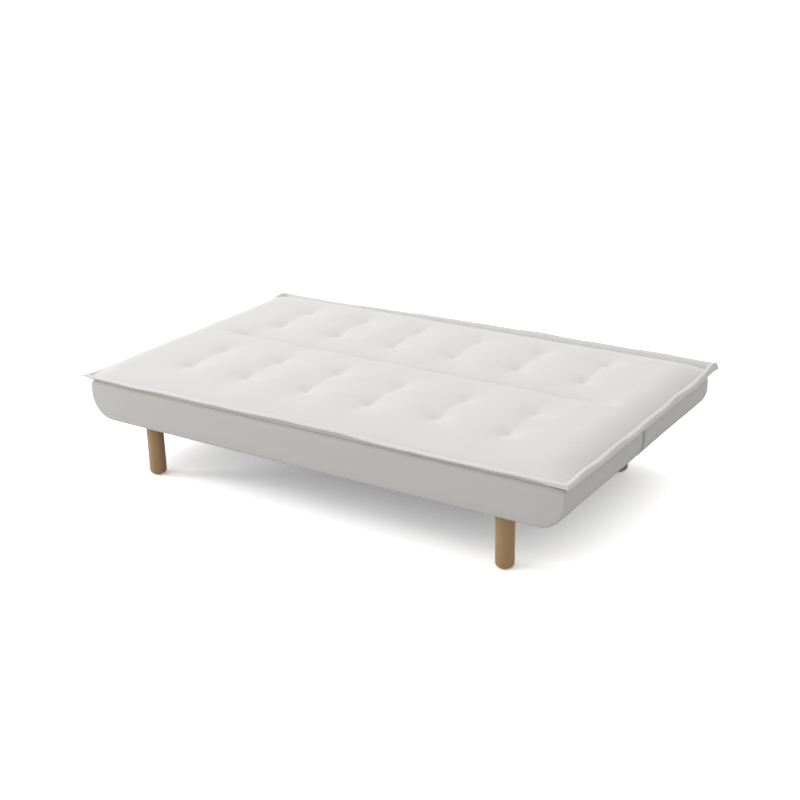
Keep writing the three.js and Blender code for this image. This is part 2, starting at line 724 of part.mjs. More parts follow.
/** Long tube under one row of legs; inward is the side that the end tubes meet. */
function longRail(y, inward) {
  const half = railTubeWidth / 2;
  const wallY = y + inward * half;
  const outside = box([-railHalfLength, railHalfLength], [y - half, y + half], tubeHeights);
  const inside = box([-railHalfLength - cutOverrun, railHalfLength + cutOverrun],
    [y - half + tubeWall, y + half - tubeWall], tubeInside);
  const holes = [-1, 1].flatMap((end) => [
    ...rivetHoles(end * legX, y, rivetSpacing, 0),
    rodZ(bufferStudRadius + fitGap, end * bufferX, y, frameTop - tubeWall - fitGap, frameTop + cutOverrun,
      wideSegments),
    ...[-1, 1].map((side) => rodY(rivetRadius + fitGap, end * sideTubeCentre + (side * endScrewSpacing) / 2,
      wallY - tubeWall - fitGap, wallY + tubeWall + fitGap, tubeMiddle)),
  ]);
  return cut(outside, inside, ...holes);
}

/** Tube at one end, with a plate at each of its own ends screwed to the long tubes. */
function endTube() {
  const front = railTubeWidth / 2 - frontRailY + fitGap;
  const rear = rearRailY - railTubeWidth / 2 - fitGap;
  const half = sideTubeWidth / 2;
  const plate = (yLow, facing) => {
    const yHigh = yLow + endPlateThickness;
    const screws = [-1, 1].flatMap((side) => {
      const x = sideTubeCentre + (side * endScrewSpacing) / 2;
      const seat = facing < 0 ? yLow : yHigh;
      const head = facing < 0 ? yHigh : yLow;
      const ends = (from, to) => [Math.min(from, to), Math.max(from, to)];
      return [
        rodY(rivetRadius, x, ...ends(head, seat + facing * (tubeWall + rivetTail)), tubeMiddle),
        rodY(rivetHeadRadius, x,
          ...ends(head + (facing * endPlateThickness) / 2, head - facing * screwHeadHeight), tubeMiddle),
      ];
    });
    return [box([sideTubeCentre - endPlateWidth / 2, sideTubeCentre + endPlateWidth / 2], [yLow, yHigh],
      [frameTop - tubeHeight + endPlateInset, frameTop - endPlateInset]), ...screws];
  };
  const outside = box([sideTubeCentre - half, sideTubeCentre + half], [front, rear], tubeHeights);
  const inside = box([sideTubeCentre - half + tubeWall, sideTubeCentre + half - tubeWall],
    [front - cutOverrun, rear + cutOverrun], tubeInside);
  return cut(joined(outside, ...plate(front, -1), ...plate(rear - endPlateThickness, 1)), inside,
    ...rivetHoles(sideTubeCentre, 0, 0, rivetSpacing));
}

/** Straight round leg with a rounded foot, bored for its bolt and its glide's nail. */
function leg(x, y) {
  const profile = [
    [0, glideThickness],
    ...arcPoints(legRadius - legFootRound, glideThickness + legFootRound, legFootRound, -90, 0, footSegments),
    ...arcPoints(legRadius - legTopRound, frameTop - legTopRound, legTopRound, 0, 90, 2),
    [0, frameTop],
  ];
  return cut(turnedZ(profile, x, y, legSegments),
    rodZ(legBoltRadius + fitGap, x, y, plateTop - legBoltLength - fitGap, frameTop + cutOverrun),
    rodZ(nailRadius + fitGap, x, y, glideThickness - cutOverrun, glideThickness + nailLength));
}

/** Nylon glide nailed under the leg. */
function legGlide(x, y) {
  const top = glideThickness - fitGap;
  return turnedZ([[0, 0], [glideRadius - glideRound, 0], [glideRadius, glideRound], [glideRadius, top],
    [nailRadius, top], [nailRadius, glideThickness + nailLength - nailRadius - fitGap],
    [0, glideThickness + nailLength - fitGap]], x, y);
}

/** Countersunk bolt down through the plate into the leg. */
function legBolt(x, y) {
  const bottom = plateTop - legBoltLength;
  const tipRadius = legBoltRadius * legBoltTipShare;
  return turnedZ([[0, bottom], [tipRadius, bottom], [legBoltRadius, bottom + legBoltTip],
    [legBoltRadius, plateBottom], [legBoltHeadRadius, plateTop], [0, plateTop]], x, y, smallSegments);
}

/** Plate over the leg's top and the tube beside it. */
function legPlate(x, legY, railY) {
  const outward = Math.sign(legY - railY);
  const legEdge = legY + outward * (legRadius - plateMargin);
  const railEdge = railY - outward * (railTubeWidth / 2);
  const outline = roundedRectangle([x - plateWidth / 2, x + plateWidth / 2],
    [Math.min(legEdge, railEdge), Math.max(legEdge, railEdge)], plateCornerRadius);
  const sink = turnedZ([[0, plateBottom - cutOverrun], [legBoltRadius + fitGap, plateBottom - cutOverrun],
    [legBoltRadius + fitGap, plateBottom], [legBoltHeadRadius + fitGap, plateTop],
    [legBoltHeadRadius + fitGap, plateTop + cutOverrun], [0, plateTop + cutOverrun]], x, legY, smallSegments);
  return cut(joined(alongZ(outline, plateBottom, plateTop), ...rivets(x, railY, rivetSpacing, 0)), sink);
}

/** Rubber buffer pressed into the tube, under the box's timber end rail. */
function restBuffer(x, y) {
  const low = frameTop + fitGap;
  const high = boxBottom - fitGap;
  const studEnd = low - bufferStudLength;
  const edge = arcPoints(bufferRadius - bufferRound, high - bufferRound, bufferRound, 0, 90, edgeSegments);
  return turnedZ([[0, studEnd], [bufferStudRadius, studEnd], [bufferStudRadius, low], [bufferRadius, low],
    ...edge, [0, high]], x, y);
}

function underframe() {
  const group = new THREE.Group();
  group.add(mesh("front_rail", longRail(-frontRailY, 1), blackSteel()));
  group.add(mesh("rear_rail", longRail(rearRailY, -1), blackSteel()));
  pair(group, "side_rail", endTube(), blackSteel);
  for (const [row, legY, railY] of [["front", -legFrontY, -frontRailY], ["rear", legRearY, rearRailY]]) {
    pair(group, `leg_${row}`, leg(legX, legY), legWood);
    pair(group, `leg_plate_${row}`, legPlate(legX, legY, railY), blackSteel);
    pair(group, `leg_bolt_${row}`, legBolt(legX, legY), zincSteel);
    pair(group, `leg_glide_${row}`, legGlide(legX, legY), nylon);
    pair(group, `rest_buffer_${row}`, restBuffer(bufferX, railY), rubber);
  }
  pair(group, "hinge_bracket", hingeBracket(), blackSteel);
  pair(group, "pivot_pin", pivotPin(), zincSteel);
  pair(group, "pivot_nut", pivotNut(), zincSteel);
  return group;
}

/** A box with its pad. Seat and back are mirror images, apart from where their arms bolt on. */
function upholsteredBox(name, onThisSide, railFace) {
  const group = new THREE.Group();
  const add = (part, shape, material) => group.add(mesh(`${name}_${part}`, onThisSide(shape), material()));
  add("inner_board", longBoard(innerFace), rawTimber);
  add("outer_board", longBoard(outerFace - boardThickness), rawTimber);
  add("middle_rail", middleRail(), rawTimber);
  pair(group, `${name}_end_rail`, onThisSide(endRail(railFace)), rawTimber);
  add("webbing", webbing(), webbingCloth);
  add("foam", foamSlab(), foam);
  add("cover", boxCover(), boxFabric);
  add("dust_cover", dustCover(), dustCloth);
  add("pad", padHalf(), padFabric);
  return group;
}

function seat() {
  const group = upholsteredBox("seat", (shape) => mirrored(shape, "y"), seatRailFace);
  pair(group, "seat_arm", seatArm(), blackSteel);
  pair(group, "pawl_pin", pawlPin(), zincSteel);
  pair(group, "pawl_spring", pawlSpring(), zincSteel);
  pair(group, "pawl", pawl(), zincSteel);
  return group;
}

function back() {
  const group = upholsteredBox("back", (shape) => shape, backRailFace);
  pair(group, "back_arm", backArm(), blackSteel);
  return group;
}

const sofaBed = new THREE.Group();
sofaBed.add(underframe(), seat(), back());

export default sofaBed;
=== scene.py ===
"""Looks of a click clack sofa bed laid flat: a tufted mattress, two upholstered boxes and round legs.

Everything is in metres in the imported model's frame: +X along the bed, +Y from the seat to the back, +Z up.
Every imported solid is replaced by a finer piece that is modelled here.
"""

import json
import logging
import math
from collections.abc import Callable, Iterator
from contextlib import contextmanager
from dataclasses import dataclass, field
from enum import Enum
from itertools import accumulate

import bmesh
import bpy
import numpy as np
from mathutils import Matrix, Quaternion, Vector, noise


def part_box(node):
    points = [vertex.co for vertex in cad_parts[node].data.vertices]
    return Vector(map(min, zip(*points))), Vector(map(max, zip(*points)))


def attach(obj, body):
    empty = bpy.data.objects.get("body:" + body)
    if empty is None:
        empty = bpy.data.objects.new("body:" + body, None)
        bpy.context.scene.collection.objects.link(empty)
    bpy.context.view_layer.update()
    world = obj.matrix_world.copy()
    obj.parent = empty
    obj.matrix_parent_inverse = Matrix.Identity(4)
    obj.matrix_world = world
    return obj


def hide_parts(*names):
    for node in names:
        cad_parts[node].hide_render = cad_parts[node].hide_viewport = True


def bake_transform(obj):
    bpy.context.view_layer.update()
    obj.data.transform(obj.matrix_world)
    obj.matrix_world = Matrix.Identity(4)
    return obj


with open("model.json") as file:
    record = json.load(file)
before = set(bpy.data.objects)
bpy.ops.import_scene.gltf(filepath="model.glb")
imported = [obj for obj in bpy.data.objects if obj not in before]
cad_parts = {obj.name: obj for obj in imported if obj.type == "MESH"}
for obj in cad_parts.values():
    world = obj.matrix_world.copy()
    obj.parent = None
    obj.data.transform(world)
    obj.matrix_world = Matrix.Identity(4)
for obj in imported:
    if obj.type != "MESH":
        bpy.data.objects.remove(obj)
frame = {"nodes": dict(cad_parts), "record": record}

LOG = logging.getLogger("sofa_bed")
CLOTH_MAP = "cloth"
MERGE_DISTANCE = 0.00002  # vertices nearer to each other than this become one
NEARLY = 0.0001  # lengths that differ by less than this are taken as equal
UPWARDS = 0.9  # a face whose normal rises more than this looks up

Colour = tuple[float, float, float]
Point = tuple[float, float, float]
Socket = bpy.types.NodeSocket
Piece = bpy.types.Object


class Half(Enum):
    """A half of the bed: its body's name and the side of the fold that it lies on."""

    SEAT = ("seat", -1)
    BACK = ("back", 1)

    @property
    def body(self) -> str:
        """The name of the body that carries this half."""
        return self.value[0]

    @property
    def side(self) -> int:
        """Minus one in front of the fold, and one behind it."""
        return self.value[1]


# Modelling helpers


def deselect_all() -> None:
    """Leaves object mode with nothing selected."""
    if bpy.context.object and bpy.context.object.mode != "OBJECT":
        bpy.ops.object.mode_set(mode="OBJECT")
    bpy.ops.object.select_all(action="DESELECT")


def make_active(piece: Piece) -> None:
    """Selects one piece alone and makes it active.

    Args:
        piece: The piece.
    """
    deselect_all()
    piece.select_set(True)
    bpy.context.view_layer.objects.active = piece


@contextmanager
def editing(piece: Piece, mode: str = "FACE") -> Iterator[None]:
    """Opens a piece in edit mode with nothing selected in it, and leaves edit mode at the end.

    Args:
        piece: The mesh to edit.
        mode: What is selected, VERT, EDGE or FACE.
    """
    make_active(piece)
    bpy.ops.object.mode_set(mode="EDIT")
    bpy.ops.mesh.select_mode(type=mode)
    bpy.ops.mesh.select_all(action="DESELECT")
    yield
    bpy.ops.object.mode_set(mode="OBJECT")


def pick(piece: Piece, kind: str, test: Callable[..., bool]) -> None:
    """Selects the vertices, edges or faces of the piece in edit mode that pass a test, and no others.

    Args:
        piece: The mesh that is being edited.
        kind: Which elements are tested, verts, edges or faces.
        test: Says whether an element is selected.
    """
    bpy.ops.mesh.select_all(action="DESELECT")
    shape = bmesh.from_edit_mesh(piece.data)
    for element in [element for element in getattr(shape, kind) if test(element)]:
        element.select_set(True)
    shape.select_flush_mode()
    bmesh.update_edit_mesh(piece.data)


def move_points(piece: Piece, change: Callable[[Vector], Point]) -> None:
    """Moves every vertex of a piece to where a function says.

    Args:
        piece: The mesh, in object mode.
        change: Gives a vertex's new place from its old one.
    """
    for vertex in piece.data.vertices:
        vertex.co = change(vertex.co.copy())
    piece.data.update()


def settle(piece: Piece, name: str) -> Piece:
    """Names a new piece and puts its place, turn and scale into its mesh.

    Args:
        piece: The new mesh.
        name: Its name.

    Returns:
        The same piece.
    """
    piece.name = name
    piece.data.name = name
    make_active(piece)
    bpy.ops.object.transform_apply(location=True, rotation=True, scale=True)
    return piece


def add_block(name: str, low: Point, high: Point) -> Piece:
    """Adds a block between two corners.

    Args:
        name: The piece's name.
        low: Its lowest corner.
        high: Its highest corner.

    Returns:
        The new piece, with its place in its mesh.
    """
    deselect_all()
    low, high = Vector(low), Vector(high)
    bpy.ops.mesh.primitive_cube_add(size=1, location=(low + high) / 2, scale=high - low)
    return settle(bpy.context.object, name)


def add_panel(name: str, low: Point, high: Point, columns: int, rows: int) -> Piece:
    """Adds a flat level panel of quads, at the lower corner's height.

    Args:
        name: The piece's name.
        low: Its lowest corner.
        high: Its highest corner.
        columns: Quads along X.
        rows: Quads along Y.

    Returns:
        The new piece.
    """
    deselect_all()
    low, high = Vector(low), Vector(high)
    middle = ((low.x + high.x) / 2, (low.y + high.y) / 2, low.z)
    bpy.ops.mesh.primitive_grid_add(x_subdivisions=columns, y_subdivisions=rows, size=1, location=middle)
    bpy.context.object.scale = (high.x - low.x, high.y - low.y, 1)
    return settle(bpy.context.object, name)


def apply_modifier(piece: Piece, kind: str, **settings: object) -> None:
    """Adds a modifier to a piece and applies it.

    Args:
        piece: The mesh.
        kind: The modifier's type, such as BEVEL.
        **settings: Values for the modifier's own properties.
    """
    make_active(piece)
    modifier = piece.modifiers.new(kind.title(), kind)
    for key, value in settings.items():
        setattr(modifier, key, value)
    bpy.ops.object.modifier_apply(modifier=modifier.name)


def cut_away(piece: Piece, cutters: list[Piece]) -> None:
    """Cuts the cutters' volume out of a piece and deletes the cutters.

    Args:
        piece: The mesh that is cut.
        cutters: Closed meshes.
    """
    for cutter in cutters:
        apply_modifier(piece, "BOOLEAN", object=cutter, operation="DIFFERENCE", solver="EXACT")
        bpy.data.objects.remove(cutter)


def mirrored_blocks(name: str, low: Point, high: Point) -> list[Piece]:
    """Adds a block between two corners at the right end, and its mirror image at the left end.

    Args:
        name: The blocks' name.
        low: The lowest corner of the one at the right.
        high: Its highest corner.

    Returns:
        Both blocks.
    """
    return [add_block(name, (min(xs), *low[1:]), (max(xs), *high[1:]))
        for xs in ((-low[0], -high[0]), (low[0], high[0]))]


def slice_evenly(axis: int, low: float, high: float, step: float) -> None:
    """Cuts the mesh that is being edited with evenly spaced planes, so that its flat faces can bend.

    Args:
        axis: Which axis the planes are square to, 0, 1 or 2.
        low: Where the stretch that is cut begins.
        high: Where it ends.
        step: The widest gap between two planes.
    """
    count = math.ceil((high - low) / step)
    normal = Vector.Fill(3, 0.0)
    normal[axis] = 1.0
    for turn in range(1, count):
        bpy.ops.mesh.select_all(action="SELECT")
        bpy.ops.mesh.bisect(plane_co=normal * (low + (high - low) * turn / count), plane_no=normal)


def smooth(piece: Piece, angle_deg: float = 40.0) -> None:
    """Shades a piece smooth, apart from edges sharper than an angle."""
    make_active(piece)
    bpy.ops.object.shade_smooth_by_angle(angle=math.radians(angle_deg))


def map_cloth(piece: Piece) -> None:
    """Gives a piece a cloth map in metres, laid flat on each face's nearest plane.

    Args:
        piece: The mesh, which keeps no other map.
    """
    while piece.data.uv_layers:
        piece.data.uv_layers.remove(piece.data.uv_layers[0])
    piece.data.uv_layers.new(name=CLOTH_MAP)
    with editing(piece):
        bpy.ops.mesh.select_all(action="SELECT")
        bpy.ops.uv.cube_project(cube_size=1.0)


def close_up() -> None:
    """Merges the doubled vertices of the mesh that is being edited, and turns its faces outwards."""
    bpy.ops.mesh.select_all(action="SELECT")
    bpy.ops.mesh.remove_doubles(threshold=MERGE_DISTANCE)
    bpy.ops.mesh.normals_make_consistent(inside=False)


def pick_rim() -> None:
    """Selects the open edges of the mesh that is being edited."""
    bpy.ops.mesh.select_non_manifold(extend=False, use_wire=False, use_boundary=True,
        use_multi_face=False, use_non_contiguous=False, use_verts=False)


def ease(value: float, start: float, end: float) -> float:
    """Runs smoothly from 0 at start to 1 at end."""
    share = min(max((value - start) / (end - start), 0.0), 1.0)
    return share * share * (3 - 2 * share)


def between(values: tuple[float, ...], place: float) -> float:
    """Eases from value to value of an evenly spaced row, whose ends stand at places -1 and 1.

    Args:
        values: The row.
        place: Where it is read, from -1 to 1.

    Returns:
        The value there.
    """
    step = min(max((place + 1) / 2, 0.0), 1.0) * (len(values) - 1)
    first = min(int(step), len(values) - 2)
    return values[first] + (values[first + 1] - values[first]) * ease(step - first, 0.0, 1.0)


def report(piece: Piece) -> None:
    """Logs a finished piece."""
    LOG.info("%s: %d faces", piece.name, len(piece.data.polygons))


@dataclass(frozen=True)
class Cloud:
    """Smooth noise over a plane, from about -1 to 1."""

    scale_x: float
    scale_y: float
    layer: float  # where it is cut from, so that no two clouds follow each other

    def at(self, x: float, y: float, further: float = 0.0) -> float:
        """The noise at a place, or at the same place in a layer further on."""
        return noise.noise(Vector((x * self.scale_x, y * self.scale_y, self.layer + further)))


# Finishes


class Graph:
    """Adds nodes to one tree and links them."""

    def __init__(self, tree: bpy.types.NodeTree) -> None:
        """Keeps the tree that the nodes go into."""
        self.tree = tree

    def add(self, kind: str, inputs: dict[str | int, object] | None = None,
            **settings: object) -> bpy.types.Node:
        """Adds one node.

        Args:
            kind: The node's type.
            inputs: A socket or a value for each named input.
            **settings: Values for the node's own properties.

        Returns:
            The new node.
        """
        node = self.tree.nodes.new(kind)
        for key, value in settings.items():
            setattr(node, key, value)
        for key, value in (inputs or {}).items():
            if isinstance(value, bpy.types.NodeSocket):
                self.tree.links.new(value, node.inputs[key])
            else:
                node.inputs[key].default_value = value
        return node

    def math(self, operation: str, first: object, second: object = 0.0) -> Socket:
        """Adds a Math node and gives its result."""
        return self.add("ShaderNodeMath", {0: first, 1: second}, operation=operation).outputs[0]

    def mix(self, factor: object, first: object, second: object) -> Socket:
        """Mixes two colours.

        Args:
            factor: The share of the second colour.
            first: The first colour.
            second: The second colour.

        Returns:
            The mixed colour.
        """
        node = self.add("ShaderNodeMix", data_type="RGBA")
        for socket, value in ((node.inputs[0], factor), (node.inputs[6], first), (node.inputs[7], second)):
            if isinstance(value, bpy.types.NodeSocket):
                self.tree.links.new(value, socket)
            else:
                socket.default_value = (*value, 1.0) if isinstance(value, tuple) else value
        return node.outputs[2]

    def noise(self, vector: Socket, scale: float, detail: float = 2.0, roughness: float = 0.5,
              distortion: float = 0.0) -> Socket:
        """Adds a noise texture.

        Args:
            vector: Where it is read.
            scale: Its scale, per metre.
            detail: How many finer layers it has.
            roughness: How strong the finer layers are.
            distortion: How much it is bent.

        Returns:
            The noise's value.
        """
        return self.add("ShaderNodeTexNoise", {"Vector": vector, "Scale": scale, "Detail": detail,
            "Roughness": roughness, "Distortion": distortion}).outputs["Fac"]

    def group(self, tree: bpy.types.NodeTree, vector: Socket) -> bpy.types.Node:
        """Adds an effect that is read at a vector."""
        return self.add("ShaderNodeGroup", {"Vector": vector}, node_tree=tree)

    def spread(self, value: Socket, low: float, high: float) -> Socket:
        """Maps a value's range smoothly onto 0 to 1."""
        return self.add("ShaderNodeMapRange", {"Value": value, "From Min": low, "From Max": high,
            "To Min": 0.0, "To Max": 1.0}, interpolation_type="SMOOTHSTEP").outputs["Result"]

    def stretched(self, vector: Socket, scale: Point) -> Socket:
        """Scales a pattern's coordinates along each axis."""
        return self.add("ShaderNodeMapping", {"Vector": vector, "Scale": scale}).outputs[0]


def effect(name: str, inputs: dict[str, object], outputs: tuple[str, ...],
           fill: Callable[[Graph, dict[str, Socket]], dict[str, Socket]]) -> bpy.types.NodeTree:
    """Builds an effect's node group, or gives the one that was built before.

    Args:
        name: The group's name.
        inputs: The default of each input; a tuple of three makes a vector input.
        outputs: The names of the values that it gives.
        fill: Adds the nodes and gives the sockets of the outputs.

    Returns:
        The node group.
    """
    if name in bpy.data.node_groups:
        return bpy.data.node_groups[name]
    tree = bpy.data.node_groups.new(name, "ShaderNodeTree")
    for label, default in inputs.items():
        kind = "NodeSocketVector" if isinstance(default, tuple) else "NodeSocketFloat"
        tree.interface.new_socket(label, in_out="INPUT", socket_type=kind).default_value = default
    for label in outputs:
        tree.interface.new_socket(label, in_out="OUTPUT", socket_type="NodeSocketFloat")
    entry = tree.nodes.new("NodeGroupInput")
    leaving = tree.nodes.new("NodeGroupOutput")
    for label, socket in fill(Graph(tree), {label: entry.outputs[label] for label in inputs}).items():
        tree.links.new(socket, leaving.inputs[label])
    return tree


def plain_weave() -> bpy.types.NodeTree:
    """Weft over warp: the height of the threads, their slubs and an uneven tone from yarn to yarn.

    Returns:
        The node group.
    """

    def fill(graph: Graph, given: dict[str, Socket]) -> dict[str, Socket]:
        """Adds the weave's nodes.

        Args:
            graph: The group's tree.
            given: The sockets of its inputs.

        Returns:
            The sockets of its outputs.
        """
        count = graph.add("ShaderNodeVectorMath", {0: given["Vector"], "Scale": given["Threads"]},
            operation="SCALE")
        wobble = graph.math("MULTIPLY", graph.noise(given["Vector"], scale=60.0), 1.5)
        bent = graph.add("ShaderNodeVectorMath", {0: count.outputs[0], 1: wobble}, operation="ADD")
        axes = graph.add("ShaderNodeSeparateXYZ", {0: bent.outputs[0]})
        across, along = (graph.math("SINE", graph.math("MULTIPLY", axes.outputs[axis], math.pi))
            for axis in (0, 1))
        weave = graph.add("ShaderNodeMath", {0: graph.math("MULTIPLY", across, along), 1: 0.5, 2: 0.5},
            operation="MULTIPLY_ADD").outputs[0]
        drawn = (graph.stretched(given["Vector"], scale) for scale in ((0.05, 1.0, 1.0), (1.0, 0.05, 1.0)))
        slub, warp = (graph.noise(vector, scale=420.0, detail=3.0, roughness=0.6) for vector in drawn)
        tone = graph.math("MULTIPLY", graph.math("ADD", slub, warp), 0.5)
        return {"Height": graph.math("ADD", weave, graph.math("MULTIPLY", tone, 0.6)), "Tone": tone}

    return effect("plain_weave", {"Vector": (0.0, 0.0, 0.0), "Threads": 700.0}, ("Height", "Tone"), fill)


def long_grain() -> bpy.types.NodeTree:
    """Timber grain along Z: broad growth bands, fine fibres and open pores.

    Returns:
        The node group.
    """

    def fill(graph: Graph, given: dict[str, Socket]) -> dict[str, Socket]:
        """Adds the grain's nodes.

        Args:
            graph: The group's tree.
            given: The sockets of its inputs.

        Returns:
            The sockets of its outputs.
        """
        slow, long, short = (graph.stretched(given["Vector"], (1.0, 1.0, share))
            for share in (0.09, 0.03, 0.05))
        bands = graph.add("ShaderNodeTexWave", {"Vector": slow, "Scale": given["Bands"], "Distortion": 5.0,
            "Detail": 3.0, "Detail Scale": 1.2}, wave_type="RINGS", rings_direction="Z").outputs["Fac"]
        fibres = graph.noise(long, scale=900.0, detail=4.0, roughness=0.65)
        pores = graph.noise(short, scale=1700.0, roughness=0.7)
        return {"Bands": bands, "Fibres": fibres, "Pores": graph.spread(pores, low=0.56, high=0.7)}

    return effect("long_grain", {"Vector": (0.0, 0.0, 0.0), "Bands": 30.0},
        ("Bands", "Fibres", "Pores"), fill)


def handling_wear() -> bpy.types.NodeTree:
    """Scuffs and settled dust of a workshop-made fitting.

    Returns:
        The node group.
    """

    def fill(graph: Graph, given: dict[str, Socket]) -> dict[str, Socket]:
        """Adds the wear's nodes.

        Args:
            graph: The group's tree.
            given: The sockets of its inputs.

        Returns:
            The sockets of its outputs.
        """
        cloud = graph.noise(given["Vector"], scale=22.0, detail=5.0, roughness=0.62)
        drawn = graph.stretched(given["Vector"], (1.0, 0.12, 0.5))
        scratch = graph.noise(drawn, scale=260.0, detail=4.0, roughness=0.7, distortion=0.6)
        scuff = graph.math("MULTIPLY", graph.spread(cloud, low=0.5, high=0.72),
            graph.spread(scratch, low=0.52, high=0.66))
        settled = graph.noise(given["Vector"], scale=9.0, detail=4.0)
        return {"Scuff": scuff, "Dust": graph.spread(settled, low=0.35, high=0.8)}

    return effect("handling_wear", {"Vector": (0.0, 0.0, 0.0)}, ("Scuff", "Dust"), fill)


@dataclass(frozen=True)
class Finish:
    """What every finish has: its slot in the record, its colour and how rough it is."""

    slot: str
    colour: Colour
    roughness: float

    def make(self) -> bpy.types.Material:
        """Builds the material, or gives the one that was built before.

        Returns:
            The material.
        """
        if self.slot in bpy.data.materials:
            return bpy.data.materials[self.slot]
        material = bpy.data.materials.new(self.slot)
        material.use_nodes = True
        material.diffuse_color = (*self.colour, 1.0)
        graph = Graph(material.node_tree)
        shader = material.node_tree.nodes["Principled BSDF"]
        shader.inputs["Roughness"].default_value = self.roughness
        self.wire(graph, shader)
        return material

    def wire(self, graph: Graph, shader: bpy.types.Node) -> None:
        """Adds this finish's nodes in front of its shader."""
        raise NotImplementedError

    @staticmethod
    def bump(graph: Graph, shader: bpy.types.Node, height: Socket, depth: float) -> None:
        """Feeds a height times a depth to the shader's normal.

        Args:
            graph: The material's tree.
            shader: Its Principled BSDF.
            height: The height, from 0 to 1, or in metres with a depth of 1.
            depth: How deep the relief is, in metres.
        """
        node = graph.add("ShaderNodeBump", {"Height": height, "Distance": depth, "Strength": 1.0})
        graph.tree.links.new(node.outputs[0], shader.inputs["Normal"])

    def about(self, graph: Graph, value: Socket, swing: float, below: float | None = None) -> Socket:
        """A roughness that follows a value of 0 to 1 up and down round the finish's own.

        Args:
            graph: The material's tree.
            value: The value that it follows.
            swing: Half of how far it goes.
            below: How far under the finish's own it starts, if not at the swing.

        Returns:
            The roughness.
        """
        start = self.roughness - (swing if below is None else below)
        return graph.math("ADD", graph.math("MULTIPLY", value, 2 * swing), start)

    @staticmethod
    def link(graph: Graph, shader: bpy.types.Node, **sockets: Socket) -> None:
        """Links sockets to the shader's inputs, with an underscore for a space in a name."""
        for name, socket in sockets.items():
            graph.tree.links.new(socket, shader.inputs[name.replace("_", " ")])


@dataclass(frozen=True)
class Cloth(Finish):
    """Woven upholstery cloth, read on its own map so that the weave follows the surface."""

    yarn: Colour = (0.0, 0.0, 0.0)  # the darker yarn between the lighter ones
    threads: float = 700.0
    relief: float = 0.00025
    sheen: float = 0.15
    mottle: float = 0.35
    patchiness: float = 0.35  # of the mottle, in patches wider than a thread
    creases: float = 0.0012

    def wire(self, graph: Graph, shader: bpy.types.Node) -> None:
        """Adds the weave, its tones and the cloth's slight unevenness.

        Args:
            graph: The material's tree.
            shader: Its Principled BSDF.
        """
        shader.inputs["Sheen Weight"].default_value = self.sheen
        shader.inputs["Sheen Roughness"].default_value = 0.5
        shader.inputs["Specular IOR Level"].default_value = 0.25
        vector = graph.add("ShaderNodeUVMap", uv_map=CLOTH_MAP).outputs[0]
        weave = graph.group(plain_weave(), vector)
        weave.inputs["Threads"].default_value = self.threads
        patch = graph.noise(vector, scale=6.0, detail=4.0, roughness=0.55)
        tone = graph.spread(weave.outputs["Tone"], low=0.3, high=0.7)
        blended = graph.math("ADD", graph.math("MULTIPLY", tone, self.mottle),
            graph.math("MULTIPLY", graph.spread(patch, low=0.25, high=0.75), self.mottle * self.patchiness))
        self.link(graph, shader, Base_Color=graph.mix(blended, self.colour, self.yarn))
        slack = graph.noise(vector, scale=34.0, detail=3.0, distortion=0.4)
        height = graph.math("ADD", graph.math("MULTIPLY", weave.outputs["Height"], self.relief),
            graph.math("MULTIPLY", slack, self.creases))
        self.bump(graph, shader, height, 1.0)


@dataclass(frozen=True)
class Timber(Finish):
    """Wood with its grain along Z, or along X where it is sawn for a box."""

    dark: Colour = (0.0, 0.0, 0.0)
    coat: float = 0.0
    along_x: bool = False
    relief: float = 0.0002
    band_share: float = 0.35
    fibre_share: float = 0.45
    pore_shade: float = 0.45

    def wire(self, graph: Graph, shader: bpy.types.Node) -> None:
        """Adds bands, fibres and pores.

        Args:
            graph: The material's tree.
            shader: Its Principled BSDF.
        """
        shader.inputs["Coat Weight"].default_value = self.coat
        shader.inputs["Coat Roughness"].default_value = 0.25
        vector = graph.add("ShaderNodeTexCoord").outputs["Object"]
        if self.along_x:
            quarter = (0.0, math.pi / 2, 0.0)
            vector = graph.add("ShaderNodeMapping", {"Vector": vector, "Rotation": quarter}).outputs[0]
        bands, fibres, pores = graph.group(long_grain(), vector).outputs
        tone = graph.math("ADD", graph.math("MULTIPLY", bands, self.band_share),
            graph.math("MULTIPLY", graph.spread(fibres, low=0.3, high=0.7), self.fibre_share))
        wood = graph.mix(tone, self.colour, self.dark)
        deep = tuple(channel * self.pore_shade for channel in self.dark)
        self.link(graph, shader, Base_Color=graph.mix(graph.math("MULTIPLY", pores, 0.5), wood, deep),
            Roughness=self.about(graph, fibres, 0.1))
        self.bump(graph, shader, graph.math("SUBTRACT", fibres, pores), self.relief)


@dataclass(frozen=True)
class Metal(Finish):
    """Coated or plated steel, with scuffs and settled dust."""

    metallic: float = 0.0
    worn: Colour = (0.35, 0.35, 0.36)
    scuffs: float = 0.5
    peel: float = 0.00006
    spangle: float = 0.0
    dust: Colour = (0.42, 0.4, 0.37)
    dustiness: float = 0.06

    def wire(self, graph: Graph, shader: bpy.types.Node) -> None:
        """Adds the coat's texture, scuffs and dust.

        Args:
            graph: The material's tree.
            shader: Its Principled BSDF.
        """
        shader.inputs["Metallic"].default_value = self.metallic
        vector = graph.add("ShaderNodeTexCoord").outputs["Object"]
        scuff, dust = graph.group(handling_wear(), vector).outputs
        coat = graph.mix(graph.math("MULTIPLY", scuff, self.scuffs), self.colour, self.worn)
        flakes = graph.spread(graph.noise(vector, scale=130.0), low=0.3, high=0.7)
        lighter = tuple(min(channel * 1.35, 1.0) for channel in self.colour)
        toned = graph.mix(graph.math("MULTIPLY", flakes, self.spangle), coat, lighter)
        self.link(graph, shader, Roughness=self.about(graph, dust, 0.1, below=0.08),
            Base_Color=graph.mix(graph.math("MULTIPLY", dust, self.dustiness), toned, self.dust))
        self.bump(graph, shader, graph.noise(vector, scale=900.0), self.peel)


